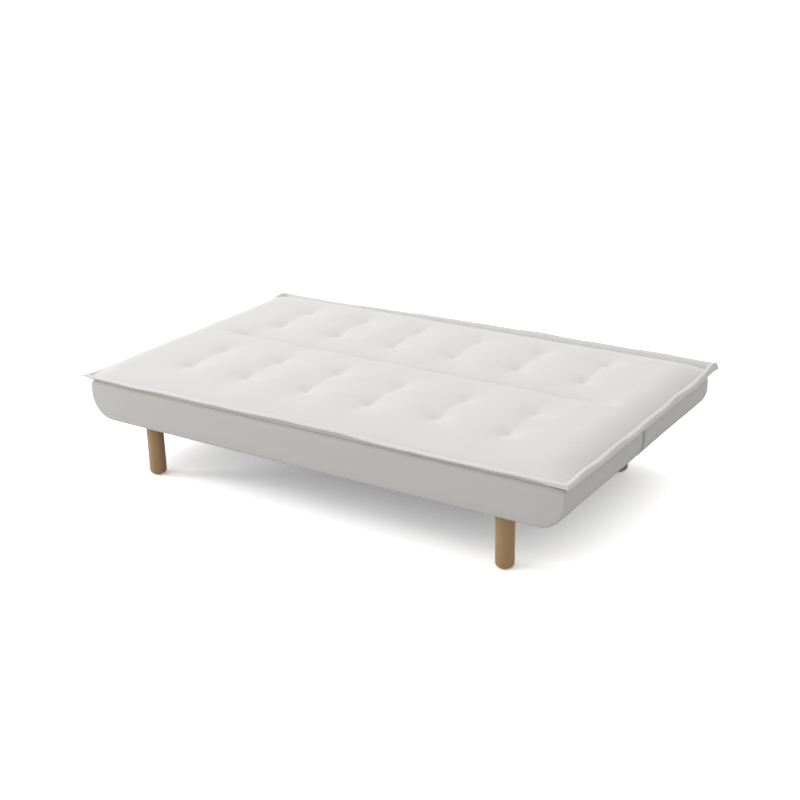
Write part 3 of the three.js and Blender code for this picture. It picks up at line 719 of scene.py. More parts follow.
@dataclass(frozen=True)
class Moulded(Finish):
    """Moulded plastic, rubber or cut foam."""

    mottle: float = 0.12
    pits: float = 900.0
    relief: float = 0.0001

    def wire(self, graph: Graph, shader: bpy.types.Node) -> None:
        """Adds fine pits and a slightly uneven colour.

        Args:
            graph: The material's tree.
            shader: Its Principled BSDF.
        """
        vector = graph.add("ShaderNodeTexCoord").outputs["Object"]
        pitted = graph.noise(vector, self.pits, detail=3.0, roughness=0.6)
        cloud = graph.math("MULTIPLY", graph.noise(vector, scale=35.0, detail=4.0), self.mottle)
        lighter = tuple(min(channel * 1.6 + 0.01, 1.0) for channel in self.colour)
        self.link(graph, shader, Base_Color=graph.mix(cloud, self.colour, lighter),
            Roughness=self.about(graph, pitted, 0.1))
        self.bump(graph, shader, pitted, self.relief)


MATTRESS_CLOTH = Cloth("mattress_fabric", (0.835, 0.833, 0.828), 0.92, yarn=(0.7, 0.695, 0.685), sheen=0.1)
BOX_CLOTH = Cloth("box_fabric", (0.82, 0.795, 0.77), 0.94, yarn=(0.64, 0.615, 0.59), threads=560.0,
    mottle=0.5, relief=0.0003)
DUST_CLOTH = Cloth("dust_cloth", (0.02, 0.02, 0.022), 0.95, yarn=(0.035, 0.035, 0.036), threads=900.0)
STRAP_CLOTH = Cloth("webbing", (0.3, 0.2, 0.11), 0.9, yarn=(0.13, 0.08, 0.04), threads=450.0, relief=0.0004)
# Both leg wood colours are painted lighter than the real wood, as painted light that makes up for the shade
# under the boxes.
LEG_WOOD_PAINTED_LIGHT = Timber("leg_wood", (0.97, 0.76, 0.41), 0.5, dark=(0.84, 0.59, 0.3), coat=0.15)
RAW_TIMBER = Timber("raw_timber", (0.66, 0.5, 0.31), 0.8, dark=(0.5, 0.34, 0.17), along_x=True)
BLACK_STEEL = Metal("black_steel", (0.02, 0.02, 0.022), 0.5)
ZINC_STEEL = Metal("zinc_steel", (0.56, 0.58, 0.59), 0.36, metallic=1.0, worn=(0.4, 0.4, 0.4), spangle=0.5)
FOAM = Moulded("foam", (0.75, 0.7, 0.52), 0.95, pits=500.0, relief=0.0006)
NYLON = Moulded("nylon", (0.04, 0.04, 0.042), 0.5)
RUBBER = Moulded("rubber", (0.015, 0.015, 0.015), 0.8)


def dress(piece: Piece, finish: Finish) -> None:
    """Gives a piece one finish all over.

    Args:
        piece: The mesh.
        finish: Its finish.
    """
    piece.data.materials.clear()
    piece.data.materials.append(finish.make())


# Mattress


@dataclass(frozen=True)
class Lip:
    """How the rolled edge lies at a place."""

    height: float  # of its round top over the seam's level
    droop: float  # how much further its outer line hangs
    tuck: float = 3.0  # how squarely it turns under
    ear: float = 0.0  # how far a corner reaches out
    hang: float = 1.0  # share of its height that its outer face covers


@dataclass(frozen=True)
class Shoulder:
    """How the filling rises inside a seam, from a share of the crown's height up to the crown."""

    start: float  # share at the seam itself
    roll: float  # how far in it reaches the crown
    power: float
    fullness: float

    def rise(self, distance: float) -> float:
        """The share of the crown's height at a distance in from the seam."""
        share = min(max(distance, 0.0) / self.roll, 1.0)
        return self.start + (1 - self.start) * (1 - (1 - share) ** self.power) ** self.fullness


@dataclass
class Mattress:
    """The tufted mattress: two halves that share the crease over the fold, with a sewn edge all round."""

    lip_width: float = 0.023  # of the rolled edge outside its seam
    lip_flat: tuple[float, float] = (0.3, 0.7)  # shares of its width between which its top runs
    under_shares: tuple[float, ...] = (0.01, 0.03, 0.08, 0.2, 0.4, 0.7)  # steps down its outer face
    foot_inset: float = 0.0305
    ear_start: float = 0.006  # how far out of the seam an ear begins
    seam_height: float = 0.3455
    front_shoulder: Shoulder = Shoulder(0.27, 0.17, 1.8, 0.85)
    rear_shoulder: Shoulder = Shoulder(0.25, 0.12, 1.8, 1.0)
    end_shoulder: Shoulder = Shoulder(0.18, 0.1, 2.3, 0.85)
    fold_rolls: tuple[float, float] = (0.019, 0.12)  # of the front half and of the rear half
    fold_powers: tuple[float, float] = (2.0, 3.0)
    valley_height: float = 0.352
    groove_left: float = -0.8  # where the crease over the fold has faded out
    groove_right: float = 0.86
    groove_fade: float = 0.13
    tuft_columns: int = 6
    tuft_pitch: float = 0.254
    tuft_rows: tuple[float, float] = (0.174, 0.36)
    tuft_depths: tuple[float, float] = (0.0095, 0.0065)  # of the row nearer the camera and the further one
    tuft_radius: float = 0.028
    tuft_power: float = 1.3  # how pointed a tuft's dimple is
    hollow_depth: float = 0.003
    hollow_radius: float = 0.06
    crease_depth: float = 0.003
    crease_width: float = 0.021
    crease_power: float = 1.4
    crease_fade: float = 0.06
    crease_drift: float = 0.006
    drift: Cloud = Cloud(3.0, 9.0, 2.7)
    pillow_depth: float = 0.0038
    pillow_ends: tuple[float, float] = (0.55, 0.3)  # share left at the fold and at the seam
    corner_blend: float = 0.12
    wave_height: float = 0.004
    wave_width: float = 0.0032
    wave_drop: float = 0.8  # share of the waves that the outer line follows
    wave: Cloud = Cloud(5.5, 5.5, 3.0)
    ripple: Cloud = Cloud(16.0, 16.0, 8.0)
    ripple_share: float = 0.3
    sway: Cloud = Cloud(9.0, 9.0, 6.0)
    lump_height: float = 0.0022
    lumps: tuple[Cloud, Cloud] = (Cloud(7.0, 9.0, 0.3), Cloud(17.0, 15.0, 5.1))
    small_lump_share: float = 0.5
    slack_depth: float = 0.0006
    slack: Cloud = Cloud(45.0, 30.0, 9.4)
    pucker_depth: float = 0.001
    puckers: Cloud = Cloud(60.0, 9.0, 4.0)
    pucker_reach: tuple[float, float] = (0.008, 0.03)  # how far in they grow, and how far they fade
    grid_step: float = 0.006
    edge_lines: int = 10  # quads across the sewn edge
    margin: float = 0.04  # just inside the seam
    margin_lines: int = 12
    fold_strip: float = 0.024
    fold_lines: int = 8
    fold_gap: float = 0.00004  # from the fold to each half's inner face
    bend_reach: float = 0.055  # how far from the fold the cloth bends
    hinge_height: float = 0.342
    neck_height: float = 0.350  # underside of the cloth over the fold
    neck_reach: float = 0.03
    pocket_low: Point = (0.749, -0.034, 0.325)  # room for the hinge eyes
    pocket_high: Point = (0.785, 0.034, 0.357)
    stitch_pitch: float = 0.0065
    stitch_length: float = 0.0042
    stitch_radius: float = 0.0006
    stitch_dive: float = 0.0008  # how deep its ends go into the cloth
    stitch_inset: float = 0.0015  # outside the seam
    stitch_start: float = 0.008  # from the fold
    # Heights of the rolled edge, along each side from left to right and along each end from front to rear
    front_heights: tuple[float, ...] = (0.010, 0.008, 0.011, 0.014, 0.018, 0.019, 0.010, 0.010, 0.013, 0.013)
    rear_heights: tuple[float, ...] = (0.014, 0.016, 0.022, 0.028, 0.032, 0.031, 0.031, 0.030)
    left_heights: tuple[float, ...] = (0.004, 0.004)
    right_heights: tuple[float, ...] = (0.013, 0.017, 0.0105, 0.016, 0.0095, 0.0135, 0.011, 0.0175, 0.011,
        0.016, 0.018)
    side_droops: tuple[float, float, float, float] = (-0.001, 0.0, 0.001, 0.004)  # front, rear, left, right
    side_tucks: tuple[float, float, float, float] = (0.1, 3.0, 2.0, 1.0)
    side_hangs: tuple[float, float, float, float] = (0.3, 1.0, 1.0, 0.85)
    front_corners: tuple[Lip, Lip] = (Lip(0.010, -0.001, 0.6, 0.009, 0.4), Lip(0.013, 0.002, 0.8, 0.001, 0.8))
    rear_corners: tuple[Lip, Lip] = (Lip(0.020, -0.008, 1.5, 0.007), Lip(0.028, -0.002, 0.8, 0.006))
    half_length: float = field(init=False)
    half_depth: float = field(init=False)
    bottom: float = field(init=False)
    crown_height: float = field(init=False)
    seam_x: float = field(init=False)
    seam_y: float = field(init=False)

    def __post_init__(self) -> None:
        """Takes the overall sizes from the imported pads."""
        low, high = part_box("back_pad")
        self.half_length, self.half_depth = high.x, high.y
        self.bottom, self.crown_height = low.z, high.z
        self.seam_x = self.half_length - self.lip_width
        self.seam_y = self.half_depth - self.lip_width

    def build(self) -> None:
        """Makes both halves and their stitching."""
        for half in Half:
            pad = self.pad(half)
            stitching = self.stitching(half)
            for piece in (pad, stitching):
                dress(piece, MATTRESS_CLOTH)
                self.bend(piece)
            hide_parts(f"{half.body}_pad")
            report(pad)

    def bend(self, piece: Piece) -> None:
        """Puts a piece's place, turn and scale into its mesh."""
        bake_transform(piece)

    def surface(self, x: float, y: float) -> float:
        """Height of the mattress's upper side inside its seam.

        Args:
            x: Place along the bed.
            y: Place across the bed, negative in front of the fold.

        Returns:
            The height above the floor.
        """
        shoulder = self.rear_shoulder if y > 0 else self.front_shoulder
        inward = self.end_shoulder.rise(self.seam_x - abs(x)) * shoulder.rise(self.seam_y - abs(y))
        height = self.seam_height + (self.crown_height - self.seam_height) * inward
        share = min(abs(y) / self.fold_rolls[y > 0], 1.0)
        power = self.fold_powers[y > 0]
        fold = self.valley_height + (self.crown_height - self.valley_height) * (1 - (1 - share) ** power)
        groove = ease(x, self.groove_left, self.groove_left + self.groove_fade)
        groove *= 1 - ease(x, self.groove_right - self.groove_fade, self.groove_right)
        height = min(height, height + (fold - self.crown_height) * groove)
        return height - (self.pull(x, y) + self.trough(x, y)) * inward + self.unevenness(x, y, inward)

    def trough(self, x: float, y: float) -> float:
        """How far the cloth lies below the tops of its pillows, which run across between the tuft columns.

        Args:
            x: Place along the bed.
            y: Place across the bed.

        Returns:
            The depth.
        """
        column = abs(x) / self.tuft_pitch + 0.5
        past_last = column > self.tuft_columns / 2 + 0.5
        bulge = 1.0 if past_last else 0.5 - 0.5 * math.cos(2 * math.pi * column)
        at_fold, at_seam = self.pillow_ends
        near, far = self.tuft_rows
        share = at_fold + (1 - at_fold) * ease(abs(y), 0.0, near)
        share -= (1 - at_seam) * ease(abs(y), far, self.seam_y)
        return self.pillow_depth * (1 - bulge) * share

    def pull(self, x: float, y: float) -> float:
        """How deep the tufts and the creases between them draw the cloth in.

        Args:
            x: Place along the bed.
            y: Place across the bed.

        Returns:
            The depth.
        """
        columns = (self.tuft_columns - 1) / 2
        column = min(max(round(x / self.tuft_pitch + columns), 0), self.tuft_columns - 1)
        tuft_x = (column - columns) * self.tuft_pitch
        rows = sorted(math.copysign(row, y) for row in self.tuft_rows)
        total = 0.0
        for row, depth in zip(rows, self.tuft_depths):
            reach = math.hypot(x - tuft_x, y - row)
            total += depth * math.exp(-(reach / self.tuft_radius) ** self.tuft_power)
            total += self.hollow_depth * math.exp(-(reach / self.hollow_radius) ** 2)
        past = max(rows[0] - y, y - rows[1], 0.0)
        drift = self.crease_drift * self.drift.at(tuft_x, y)
        across = abs(x - tuft_x - drift) / self.crease_width
        total += self.crease_depth * math.exp(-(across ** self.crease_power) - (past / self.crease_fade) ** 2)
        return total

    def unevenness(self, x: float, y: float, inward: float) -> float:
        """Lumps of the filling, small slack folds and the puckers that the seam makes.

        Args:
            x: Place along the bed.
            y: Place across the bed.
            inward: The share of the crown's height there.

        Returns:
            How far they lift the surface.
        """
        large, small = (lumps.at(x, y) for lumps in self.lumps)
        lumps = self.lump_height * (large + self.small_lump_share * small)
        from_end, from_side = self.seam_x - abs(x), self.seam_y - abs(y)
        along, distance = (x, from_side) if from_side < from_end else (y, from_end)
        pucker = self.puckers.at(along, distance, math.copysign(1.0, y))
        grown, faded = self.pucker_reach
        near = math.exp(-(distance / faded) ** 2) * min(distance / grown, 1.0)
        return (lumps + self.slack_depth * self.slack.at(x, y)) * inward + self.pucker_depth * pucker * near

    def lip(self, x: float, y: float) -> Lip:
        """How the rolled edge lies at a place, with the sides and corners blended into each other.

        Args:
            x: Place along the bed.
            y: Place across the bed.

        Returns:
            The edge's values there.
        """
        at_end = ease(abs(x), self.half_length - self.corner_blend, self.seam_x)
        at_side = ease(abs(y), self.half_depth - self.corner_blend, self.seam_y)
        corner = (self.rear_corners if y > 0 else self.front_corners)[x > 0]
        side_heights = self.rear_heights if y > 0 else self.front_heights
        end_heights = self.right_heights if x > 0 else self.left_heights
        lips = [Lip(between(heights, place), self.side_droops[side], self.side_tucks[side],
            hang=self.side_hangs[side]) for heights, place, side in (
                (side_heights, x / self.half_length, int(y > 0)),
                (end_heights, y / self.half_depth, 2 + int(x > 0)))]
        shares = (at_side * (1 - at_end), at_end * (1 - at_side), at_end * at_side)
        total = max(sum(shares), 1e-6)
        height, droop, tuck, hang = (
            sum(share * getattr(lip, name) for share, lip in zip(shares, (*lips, corner))) / total
            for name in ("height", "droop", "tuck", "hang"))
        return Lip(height, droop, tuck, corner.ear, hang)

    def edge_wave(self, x: float, y: float) -> tuple[float, float]:
        """How far the sewn edge waves at a place.

        Args:
            x: Place along the bed.
            y: Place across the bed.

        Returns:
            How far up, and how far out.
        """
        up = self.wave_height * (self.wave.at(x, y) + self.ripple_share * self.ripple.at(x, y))
        return up, self.wave_width * self.sway.at(x, y)

    def pad(self, half: Half) -> Piece:
        """Makes one half: the upper side, its sewn edge, the walls and the underside.

        Args:
            half: Which half.

        Returns:
            The finished mesh, still without a body.
        """
        side, gap = half.side, self.fold_gap
        inner_x, inner_y = self.seam_x - self.margin, self.seam_y - self.margin
        edge, margin = self.edge_lines, self.margin_lines
        ends = [-self.half_length, -self.seam_x, -inner_x, inner_x, self.seam_x, self.half_length]
        lines_x = list(accumulate((0, edge, margin, round(2 * inner_x / self.grid_step), margin, edge)))
        sides = [gap, self.fold_strip, inner_y, self.seam_y, self.half_depth]
        middle = round((inner_y - self.fold_strip) / self.grid_step)
        lines_y = list(accumulate((0, self.fold_lines, middle, margin, edge)))
        ys = sorted((side * gap, side * self.half_depth))
        pad = add_panel(f"{half.body}_mattress", (-self.half_length, ys[0], self.seam_height),
            (self.half_length, ys[1], self.seam_height), lines_x[-1], lines_y[-1])

        def graded(co: Vector) -> Point:
            """Crowds the panel's lines at the sewn edge and at the fold.

            Args:
                co: A point of the even panel.

            Returns:
                Its new place.
            """
            line_x = (co.x + self.half_length) / (2 * self.half_length) * lines_x[-1]
            line_y = (abs(co.y) - gap) / (self.half_depth - gap) * lines_y[-1]
            x, y = np.interp(line_x, lines_x, ends), np.interp(line_y, lines_y, sides)
            return float(x), side * float(y), co.z

        move_points(pad, graded)
        move_points(pad, self.top_point)
        map_cloth(pad)
        self.close(pad, side)
        self.cut_pockets(pad)
        with editing(pad):
            close_up()
        smooth(pad, angle_deg=50.0)
        return pad

    def top_point(self, co: Vector) -> Point:
        """Where a point of the upper side goes, with the sewn edge and its ears at the corners.

        Args:
            co: The point on the level panel.

        Returns:
            Its new place.
        """
        side = 1 if co.y > 0 else -1
        past_x, past_y = max(abs(co.x) - self.seam_x, 0.0), max(abs(co.y) - self.seam_y, 0.0)
        past = max(past_x, past_y)
        if past < 1e-6:
            return co.x, co.y, self.surface(co.x, co.y)
        up, out = self.edge_wave(co.x, co.y)
        lip, share = self.lip(co.x, co.y), past / self.lip_width
        seam_x = math.copysign(min(abs(co.x), self.seam_x), co.x)
        seam = self.surface(seam_x, side * min(abs(co.y), self.seam_y))
        top = self.seam_height + lip.height + up
        rim = self.seam_height + lip.height * (1 - lip.hang) - lip.droop + up * self.wave_drop
        near, far = self.lip_flat
        height = top - (top - seam) * (1 - min(share / near, 1.0)) ** 2
        height -= (top - rim) * (max(share - far, 0.0) / (1 - far)) ** 2
        ear = lip.ear * self.cornerness(co)
        out *= ease(share, 0.0, 0.5)
        x = co.x + math.copysign(out * (past_x > 0) + ear, co.x)
        return x, co.y + side * (out * (past_y > 0) + ear), height

    def cornerness(self, co: Vector) -> float:
        """How near a point of the sewn edge is to a corner's tip, from 0 to 1."""
        past = (abs(co.x) - self.seam_x, abs(co.y) - self.seam_y)
        return math.prod(ease(distance, self.ear_start, self.lip_width) for distance in past)

    def close(self, pad: Piece, side: int) -> None:
        """Extrudes the upper side's rim down and in round the sewn edge, and fills the underside.

        Args:
            pad: The upper side.
            side: The half's side of the fold.
        """
        rims = {(1 if x > 0 else -1): self.top_point(Vector((x, side * self.fold_gap, 0.0)))
            for x in (-self.half_length, self.half_length)}
        outside = 0.001  # how far past the seam a rim is a side's or an end's
        thin = 0.001  # the least thickness of the cloth over the fold

        def under(co: Vector, rim: Point, share: float) -> Point:
            """One step down the rolled edge's underside, or down the neck over the fold.

            Args:
                co: The vertex's old place.
                rim: Where its line left the top.
                share: How far down the step is, from 0 to 1.

            Returns:
                Its new place.
            """
            outside_x, outside_y = abs(rim[0]) > self.seam_x + outside, abs(rim[1]) > self.seam_y + outside
            if abs(co.y) < self.fold_gap + NEARLY:
                end = rims[1 if co.x > 0 else -1]
                level = end[2] - (end[2] - self.bottom) * share
                if not outside_x:
                    return co.x, co.y, min(co.z - thin, max(self.neck_height, level))
                reach = abs(end[0]) - self.foot_inset * share ** self.lip(end[0], 0.0).tuck
                return math.copysign(min(abs(co.x), reach), co.x), co.y, min(co.z, level)
            lip = self.lip(rim[0], rim[1])
            step = (self.foot_inset + lip.ear * self.cornerness(Vector(rim))) * share ** lip.tuck
            x = rim[0] - math.copysign(step, rim[0]) if outside_x else rim[0]
            y = rim[1] - side * step if outside_y else rim[1]
            return x, y, rim[2] - (rim[2] - self.bottom) * share

        def foot(co: Vector, rim: Point) -> Point:
            """The rim of the flat underside.

            Args:
                co: The vertex's old place.
                rim: Where its line left the top, which doesn't matter here.

            Returns:
                Its new place.
            """
            x = math.copysign(min(abs(co.x), self.half_length - self.foot_inset), co.x)
            y = min(max(abs(co.y), self.neck_reach), self.half_depth - self.foot_inset)
            return x, side * y, self.bottom

        for share in self.under_shares:
            self.extrude_rim(pad, lambda co, rim: under(co, rim, share))
        self.extrude_rim(pad, foot)
        with editing(pad, "EDGE"):
            pick_rim()
            bpy.ops.mesh.edge_face_add()
            close_up()

    def extrude_rim(self, pad: Piece, shape: Callable[[Vector, Point], Point]) -> None:
        """Extrudes the pad's open rim, and moves its new vertices.

        Args:
            pad: The mesh.
            shape: Gives a vertex's new place from its old one and from where its line left the top.
        """
        with editing(pad, "EDGE"):
            layers = bmesh.from_edit_mesh(pad.data).verts.layers.float_vector
            if not layers.get("rim"):
                layers.new("rim")
            pick_rim()
            edit = bmesh.from_edit_mesh(pad.data)
            layer = edit.verts.layers.float_vector["rim"]
            for vertex in edit.verts:
                if vertex.select and vertex[layer].length < 1e-6:
                    vertex[layer] = vertex.co
            bmesh.update_edit_mesh(pad.data)
            bpy.ops.mesh.extrude_region_move()
            edit = bmesh.from_edit_mesh(pad.data)
            layer = edit.verts.layers.float_vector["rim"]
            for vertex in edit.verts:
                if vertex.select:
                    vertex.co = shape(vertex.co.copy(), tuple(vertex[layer]))
            bmesh.update_edit_mesh(pad.data)

    def cut_pockets(self, pad: Piece) -> None:
        """Cuts the room over the two hinges out of a half."""
        cut_away(pad, mirrored_blocks("pocket", self.pocket_low, self.pocket_high))

    def stitching(self, half: Half) -> Piece:
        """Makes the row of stitches along the seam of the sewn edge, one small thread at a time.

        Args:
            half: Which half.

        Returns:
            The finished row, still without a body.
        """
        seam_x, seam_y = self.seam_x + self.stitch_inset, self.seam_y + self.stitch_inset
        start = self.stitch_start
        runs = (
            (seam_y - start, math.pi / 2, lambda along: (-seam_x, start + along)),
            (2 * seam_x, 0.0, lambda along: (along - seam_x, seam_y)),
            (seam_y - start, -math.pi / 2, lambda along: (seam_x, seam_y - along)),
        )
        thread = self.thread()
        made = bmesh.new()
        for length, heading, place_at in runs:
            count = int(length / self.stitch_pitch)
            turn = Quaternion((0, 0, 1), heading * half.side)
            for number in range(count):
                x, y = place_at((number + 0.5) * length / count)
                place = Vector(self.top_point(Vector((x, half.side * y, 0.0))))
                place += Vector((0.0, 0.0, self.stitch_radius / 2))
                first = len(made.verts)
                made.from_mesh(thread.data)
                made.verts.ensure_lookup_table()
                for vertex in made.verts[first:]:
                    vertex.co = turn @ vertex.co + place
        mesh = bpy.data.meshes.new(f"{half.body}_edge_stitching")
        made.to_mesh(mesh)
        made.free()
        bpy.data.objects.remove(thread)
        piece = bpy.data.objects.new(mesh.name, mesh)
        bpy.context.scene.collection.objects.link(piece)
        map_cloth(piece)
        smooth(piece, angle_deg=80.0)
        return piece

    def thread(self) -> Piece:
        """Makes one stitch: a short thread that dives into the cloth at both ends.

        Returns:
            The stitch, along X at the origin.
        """
        half = self.stitch_length / 2
        deselect_all()
        bpy.ops.mesh.primitive_cylinder_add(vertices=6, radius=self.stitch_radius, depth=self.stitch_length,
            rotation=(0, math.pi / 2, 0), end_fill_type="NGON")
        piece = settle(bpy.context.object, "thread")
        with editing(piece, "EDGE"):
            slice_evenly(0, -half, half, half)
        move_points(piece, lambda co: (co.x, co.y, co.z - self.stitch_dive * (co.x / half) ** 2))
        return piece


# Boxes


@dataclass
class UpholsteredBox:
    """One box under the mattress: its padded cover, the cloth under it, the foam and the straps inside."""

    half: Half
    wall: float = 0.008
    corner: float = 0.090
    corner_steps: int = 14
    soft_edge: float = 0.007
    soft_steps: int = 4
    lip: float = 0.060  # how far the cover is turned under
    slice_step: float = 0.03
    rim_step: float = 0.003
    rim_round: float = 0.026  # height over which the cover leans in under the mattress
    rim_inset: float = 0.0105
    billow: float = 0.0016
    billow_rise: tuple[float, float] = (-0.01, 0.05)  # heights over the bottom between which it grows
    swells: tuple[float, float] = (6.0, 15.0)  # how close the large and the small swellings lie, per metre
    swell_shares: tuple[float, float] = (0.7, 0.35)
    swell_shift: float = 3.0  # in the noise, so that the two covers differ
    tension: float = 0.00036
    tension_ends: tuple[float, float] = (0.72, 0.9)  # where the creases round a corner begin and are whole
    tension_waves: tuple[float, float] = (70.0, 40.0)  # along X and Z
    tension_bend: float = 5.0  # how far their lines wander, in radians
    tension_bends: float = 5.0  # how close the bends lie, per metre
    seam_reach: float = 0.04
    well_low: Point = (0.7494, -0.052, 0.254)  # room for the hinge arms
    well_high: Point = (0.785, 0.052, 0.360)
    sheet_thickness: float = 0.0004
    sheet_lines: tuple[int, int] = (96, 28)
    sag_depth: float = 0.0011
    sag_reach: float = 0.12
    pleat_depth: float = 0.0003
    pleat_waves: float = 95.0
    pleat_reach: float = 0.02
    foam_edge: float = 0.004
    foam_step: float = 0.06
    foam_skin: float = 0.01  # height over which it wears
    foam_wear: float = 0.0008
    foam_lumps: float = 11.0
    strap_thickness: float = 0.0009
    strap_width: float = 0.080
    strap_spacing: float = 0.180
    strap_slope: float = 0.9  # share of the width in which a strap rises over the next
    strap_rows: int = 3
    strap_lines: tuple[int, int, int] = (160, 60, 4)  # along the bed, across it and across a strap

    def build(self) -> None:
        """Makes and dresses every soft piece of the box."""
        cover = self.cover()
        dress(cover, BOX_CLOTH)
        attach(cover, self.half.body)
        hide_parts(f"{self.half.body}_cover")
        for piece, finish in (
                (self.dust_cloth(), DUST_CLOTH), (self.foam(), FOAM), (self.straps(), STRAP_CLOTH)):
            dress(piece, finish)
            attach(piece, self.half.body)
            report(piece)
        report(cover)

    def wells(self) -> list[Piece]:
        """Makes the two cutters for the hinge arms' room."""
        return mirrored_blocks("well", self.well_low, self.well_high)

    def cover(self) -> Piece:
        """Makes the padded cover: a tub with round lower ends, turned under round the bottom.

        Returns:
            The finished mesh, still without a body.
        """
        low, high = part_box(f"{self.half.body}_cover")
        cover = add_block(f"{self.half.body}_upholstery", low, high)
        end = high.x

        def level_with(edge: bmesh.types.BMEdge, height: float) -> bool:
            """Says whether an edge lies at a height."""
            return all(abs(vertex.co.z - height) < NEARLY for vertex in edge.verts)

        def square_to(edge: bmesh.types.BMEdge, axis: int) -> bool:
            """Says whether an edge keeps one place along an axis."""
            return abs(edge.verts[0].co[axis] - edge.verts[1].co[axis]) < NEARLY

        with editing(cover, "EDGE"):
            pick(cover, "edges", lambda edge: level_with(edge, low.z) and square_to(edge, 0))
            bpy.ops.mesh.bevel(offset=self.corner, segments=self.corner_steps, profile=0.5, affect="EDGES")
        with editing(cover, "EDGE"):
            pick(cover, "edges", lambda edge: square_to(edge, 1) and not level_with(edge, high.z))
            bpy.ops.mesh.bevel(offset=self.soft_edge, segments=self.soft_steps, profile=0.5, affect="EDGES")
        with editing(cover):
            pick(cover, "faces", lambda face: face.normal.z > UPWARDS)
            bpy.ops.mesh.delete(type="FACE")
        rim = high.z - self.rim_round
        with editing(cover, "EDGE"):
            for axis, start, stop, step in (
                    (0, self.corner - end, end - self.corner, self.slice_step),
                    (1, low.y + self.soft_edge, high.y - self.soft_edge, self.slice_step),
                    (2, low.z + self.corner, rim, self.slice_step),
                    (2, rim - self.rim_step, high.z, self.rim_step),
                    (2, low.z + self.soft_edge, low.z + self.corner, self.slice_step)):
                slice_evenly(axis, start, stop, step)
        self.billow_out(cover, low, high)
        apply_modifier(cover, "SOLIDIFY", thickness=self.wall, offset=-1.0, use_even_offset=True)
        opening = self.corner + self.lip
        cut_away(cover, [add_block("opening", (opening - end, low.y + self.lip, low.z - self.lip),
            (end - opening, high.y - self.lip, low.z + self.wall * 2)), *self.wells()])
        move_points(cover, lambda co: self.lean_in(co, low, high))
        map_cloth(cover)
        smooth(cover)
        return cover

    def lean_in(self, co: Vector, low: Vector, high: Vector) -> Point:
        """Rounds the cover's outer skin in towards its upper rim.

        Args:
            co: A vertex's place.
            low: The box's lowest corner.
            high: Its highest corner.

        Returns:
            The vertex's new place.
        """
        share = min(max(co.z - high.z + self.rim_round, 0.0) / self.rim_round, 1.0)
        inset = self.rim_inset * (1 - math.sqrt(1 - share * share))
        skin = self.wall / 2
        x = co.x - math.copysign(inset, co.x) if high.x - abs(co.x) < skin else co.x
        y = co.y + inset if co.y - low.y < skin else co.y - inset if high.y - co.y < skin else co.y
        return x, y, co.z

    def billow_out(self, cover: Piece, low: Vector, high: Vector) -> None:
        """Lets the cover swell a little between its seams and pull tight round its corners.

        Args:
            cover: The cover's outer skin.
            low: The box's lowest corner.
            high: Its highest corner.
        """
        start = Vector((0.0, self.half.side * self.swell_shift, 0.0))
        normals = {vertex.index: vertex.normal.copy() for vertex in cover.data.vertices}
        for vertex in cover.data.vertices:
            co = vertex.co
            reach = min(co.y - low.y, high.y - co.y, self.seam_reach) / self.seam_reach
            rise = ease(co.z, *(low.z + height for height in self.billow_rise))
            swell = sum(share * noise.noise(co * scale + start)
                for share, scale in zip(self.swell_shares, self.swells))
            phase = co.x * self.tension_waves[0] + co.z * self.tension_waves[1]
            phase += self.tension_bend * noise.noise(co * self.tension_bends)
            pulls = math.sin(phase) * ease(abs(co.x), *self.tension_ends)
            amount = self.billow * swell * rise + self.tension * pulls * (1 - abs(reach - 0.5))
            vertex.co = co + normals[vertex.index] * amount

    def dust_cloth(self) -> Piece:
        """Makes the thin cloth stapled under the box, which sags a little between its edges.

        Returns:
            The finished sheet, still without a body.
        """
        low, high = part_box(f"{self.half.body}_dust_cover")
        level = high.z - self.sheet_thickness / 2
        sheet = add_panel(f"{self.half.body}_dust_cloth", (low.x, low.y, level), high, *self.sheet_lines)
        middle, reach = (low + high) / 2, (high - low) / 2

        def sag(co: Vector) -> Point:
            """Lower in the middle, with small pleats from the staples.

            Args:
                co: A vertex's place.

            Returns:
                Its new place.
            """
            edge = min(reach.x - abs(co.x - middle.x), reach.y - abs(co.y - middle.y))
            depth = self.sag_depth * ease(edge, 0.0, self.sag_reach)
            pleat = self.pleat_depth * math.sin(co.x * self.pleat_waves) * math.exp(-edge / self.pleat_reach)
            return co.x, co.y, co.z - depth + pleat

        move_points(sheet, sag)
        map_cloth(sheet)
        apply_modifier(sheet, "SOLIDIFY", thickness=self.sheet_thickness, offset=-1.0)
        smooth(sheet, angle_deg=60.0)
        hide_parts(f"{self.half.body}_dust_cover")
        return sheet

    def foam(self) -> Piece:
        """Makes the cut foam slab under the mattress, with its edges softened by use.

        Returns:
            The finished slab, still without a body.
        """
        low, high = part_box(f"{self.half.body}_foam")
        slab = add_block(f"{self.half.body}_foam_slab", low, high)
        with editing(slab, "EDGE"):
            pick(slab, "edges", lambda edge: abs(edge.verts[0].co.x - edge.verts[1].co.x) > NEARLY
                or edge.verts[0].co.z > low.z)
            bpy.ops.mesh.bevel(offset=self.foam_edge, segments=3, profile=0.5, affect="EDGES")
            slice_evenly(0, low.x, high.x, self.foam_step)
            slice_evenly(1, low.y, high.y, self.foam_step)

        def worn(co: Vector) -> Point:
            """Sinks the upper side a little and unevenly.

            Args:
                co: A vertex's place.

            Returns:
                Its new place.
            """
            above = co.z > low.z + self.foam_skin
            return co.x, co.y, co.z - self.foam_wear * abs(noise.noise(co * self.foam_lumps)) * above

        move_points(slab, worn)
        cut_away(slab, self.wells())
        smooth(slab)
        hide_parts(f"{self.half.body}_foam")
        return slab

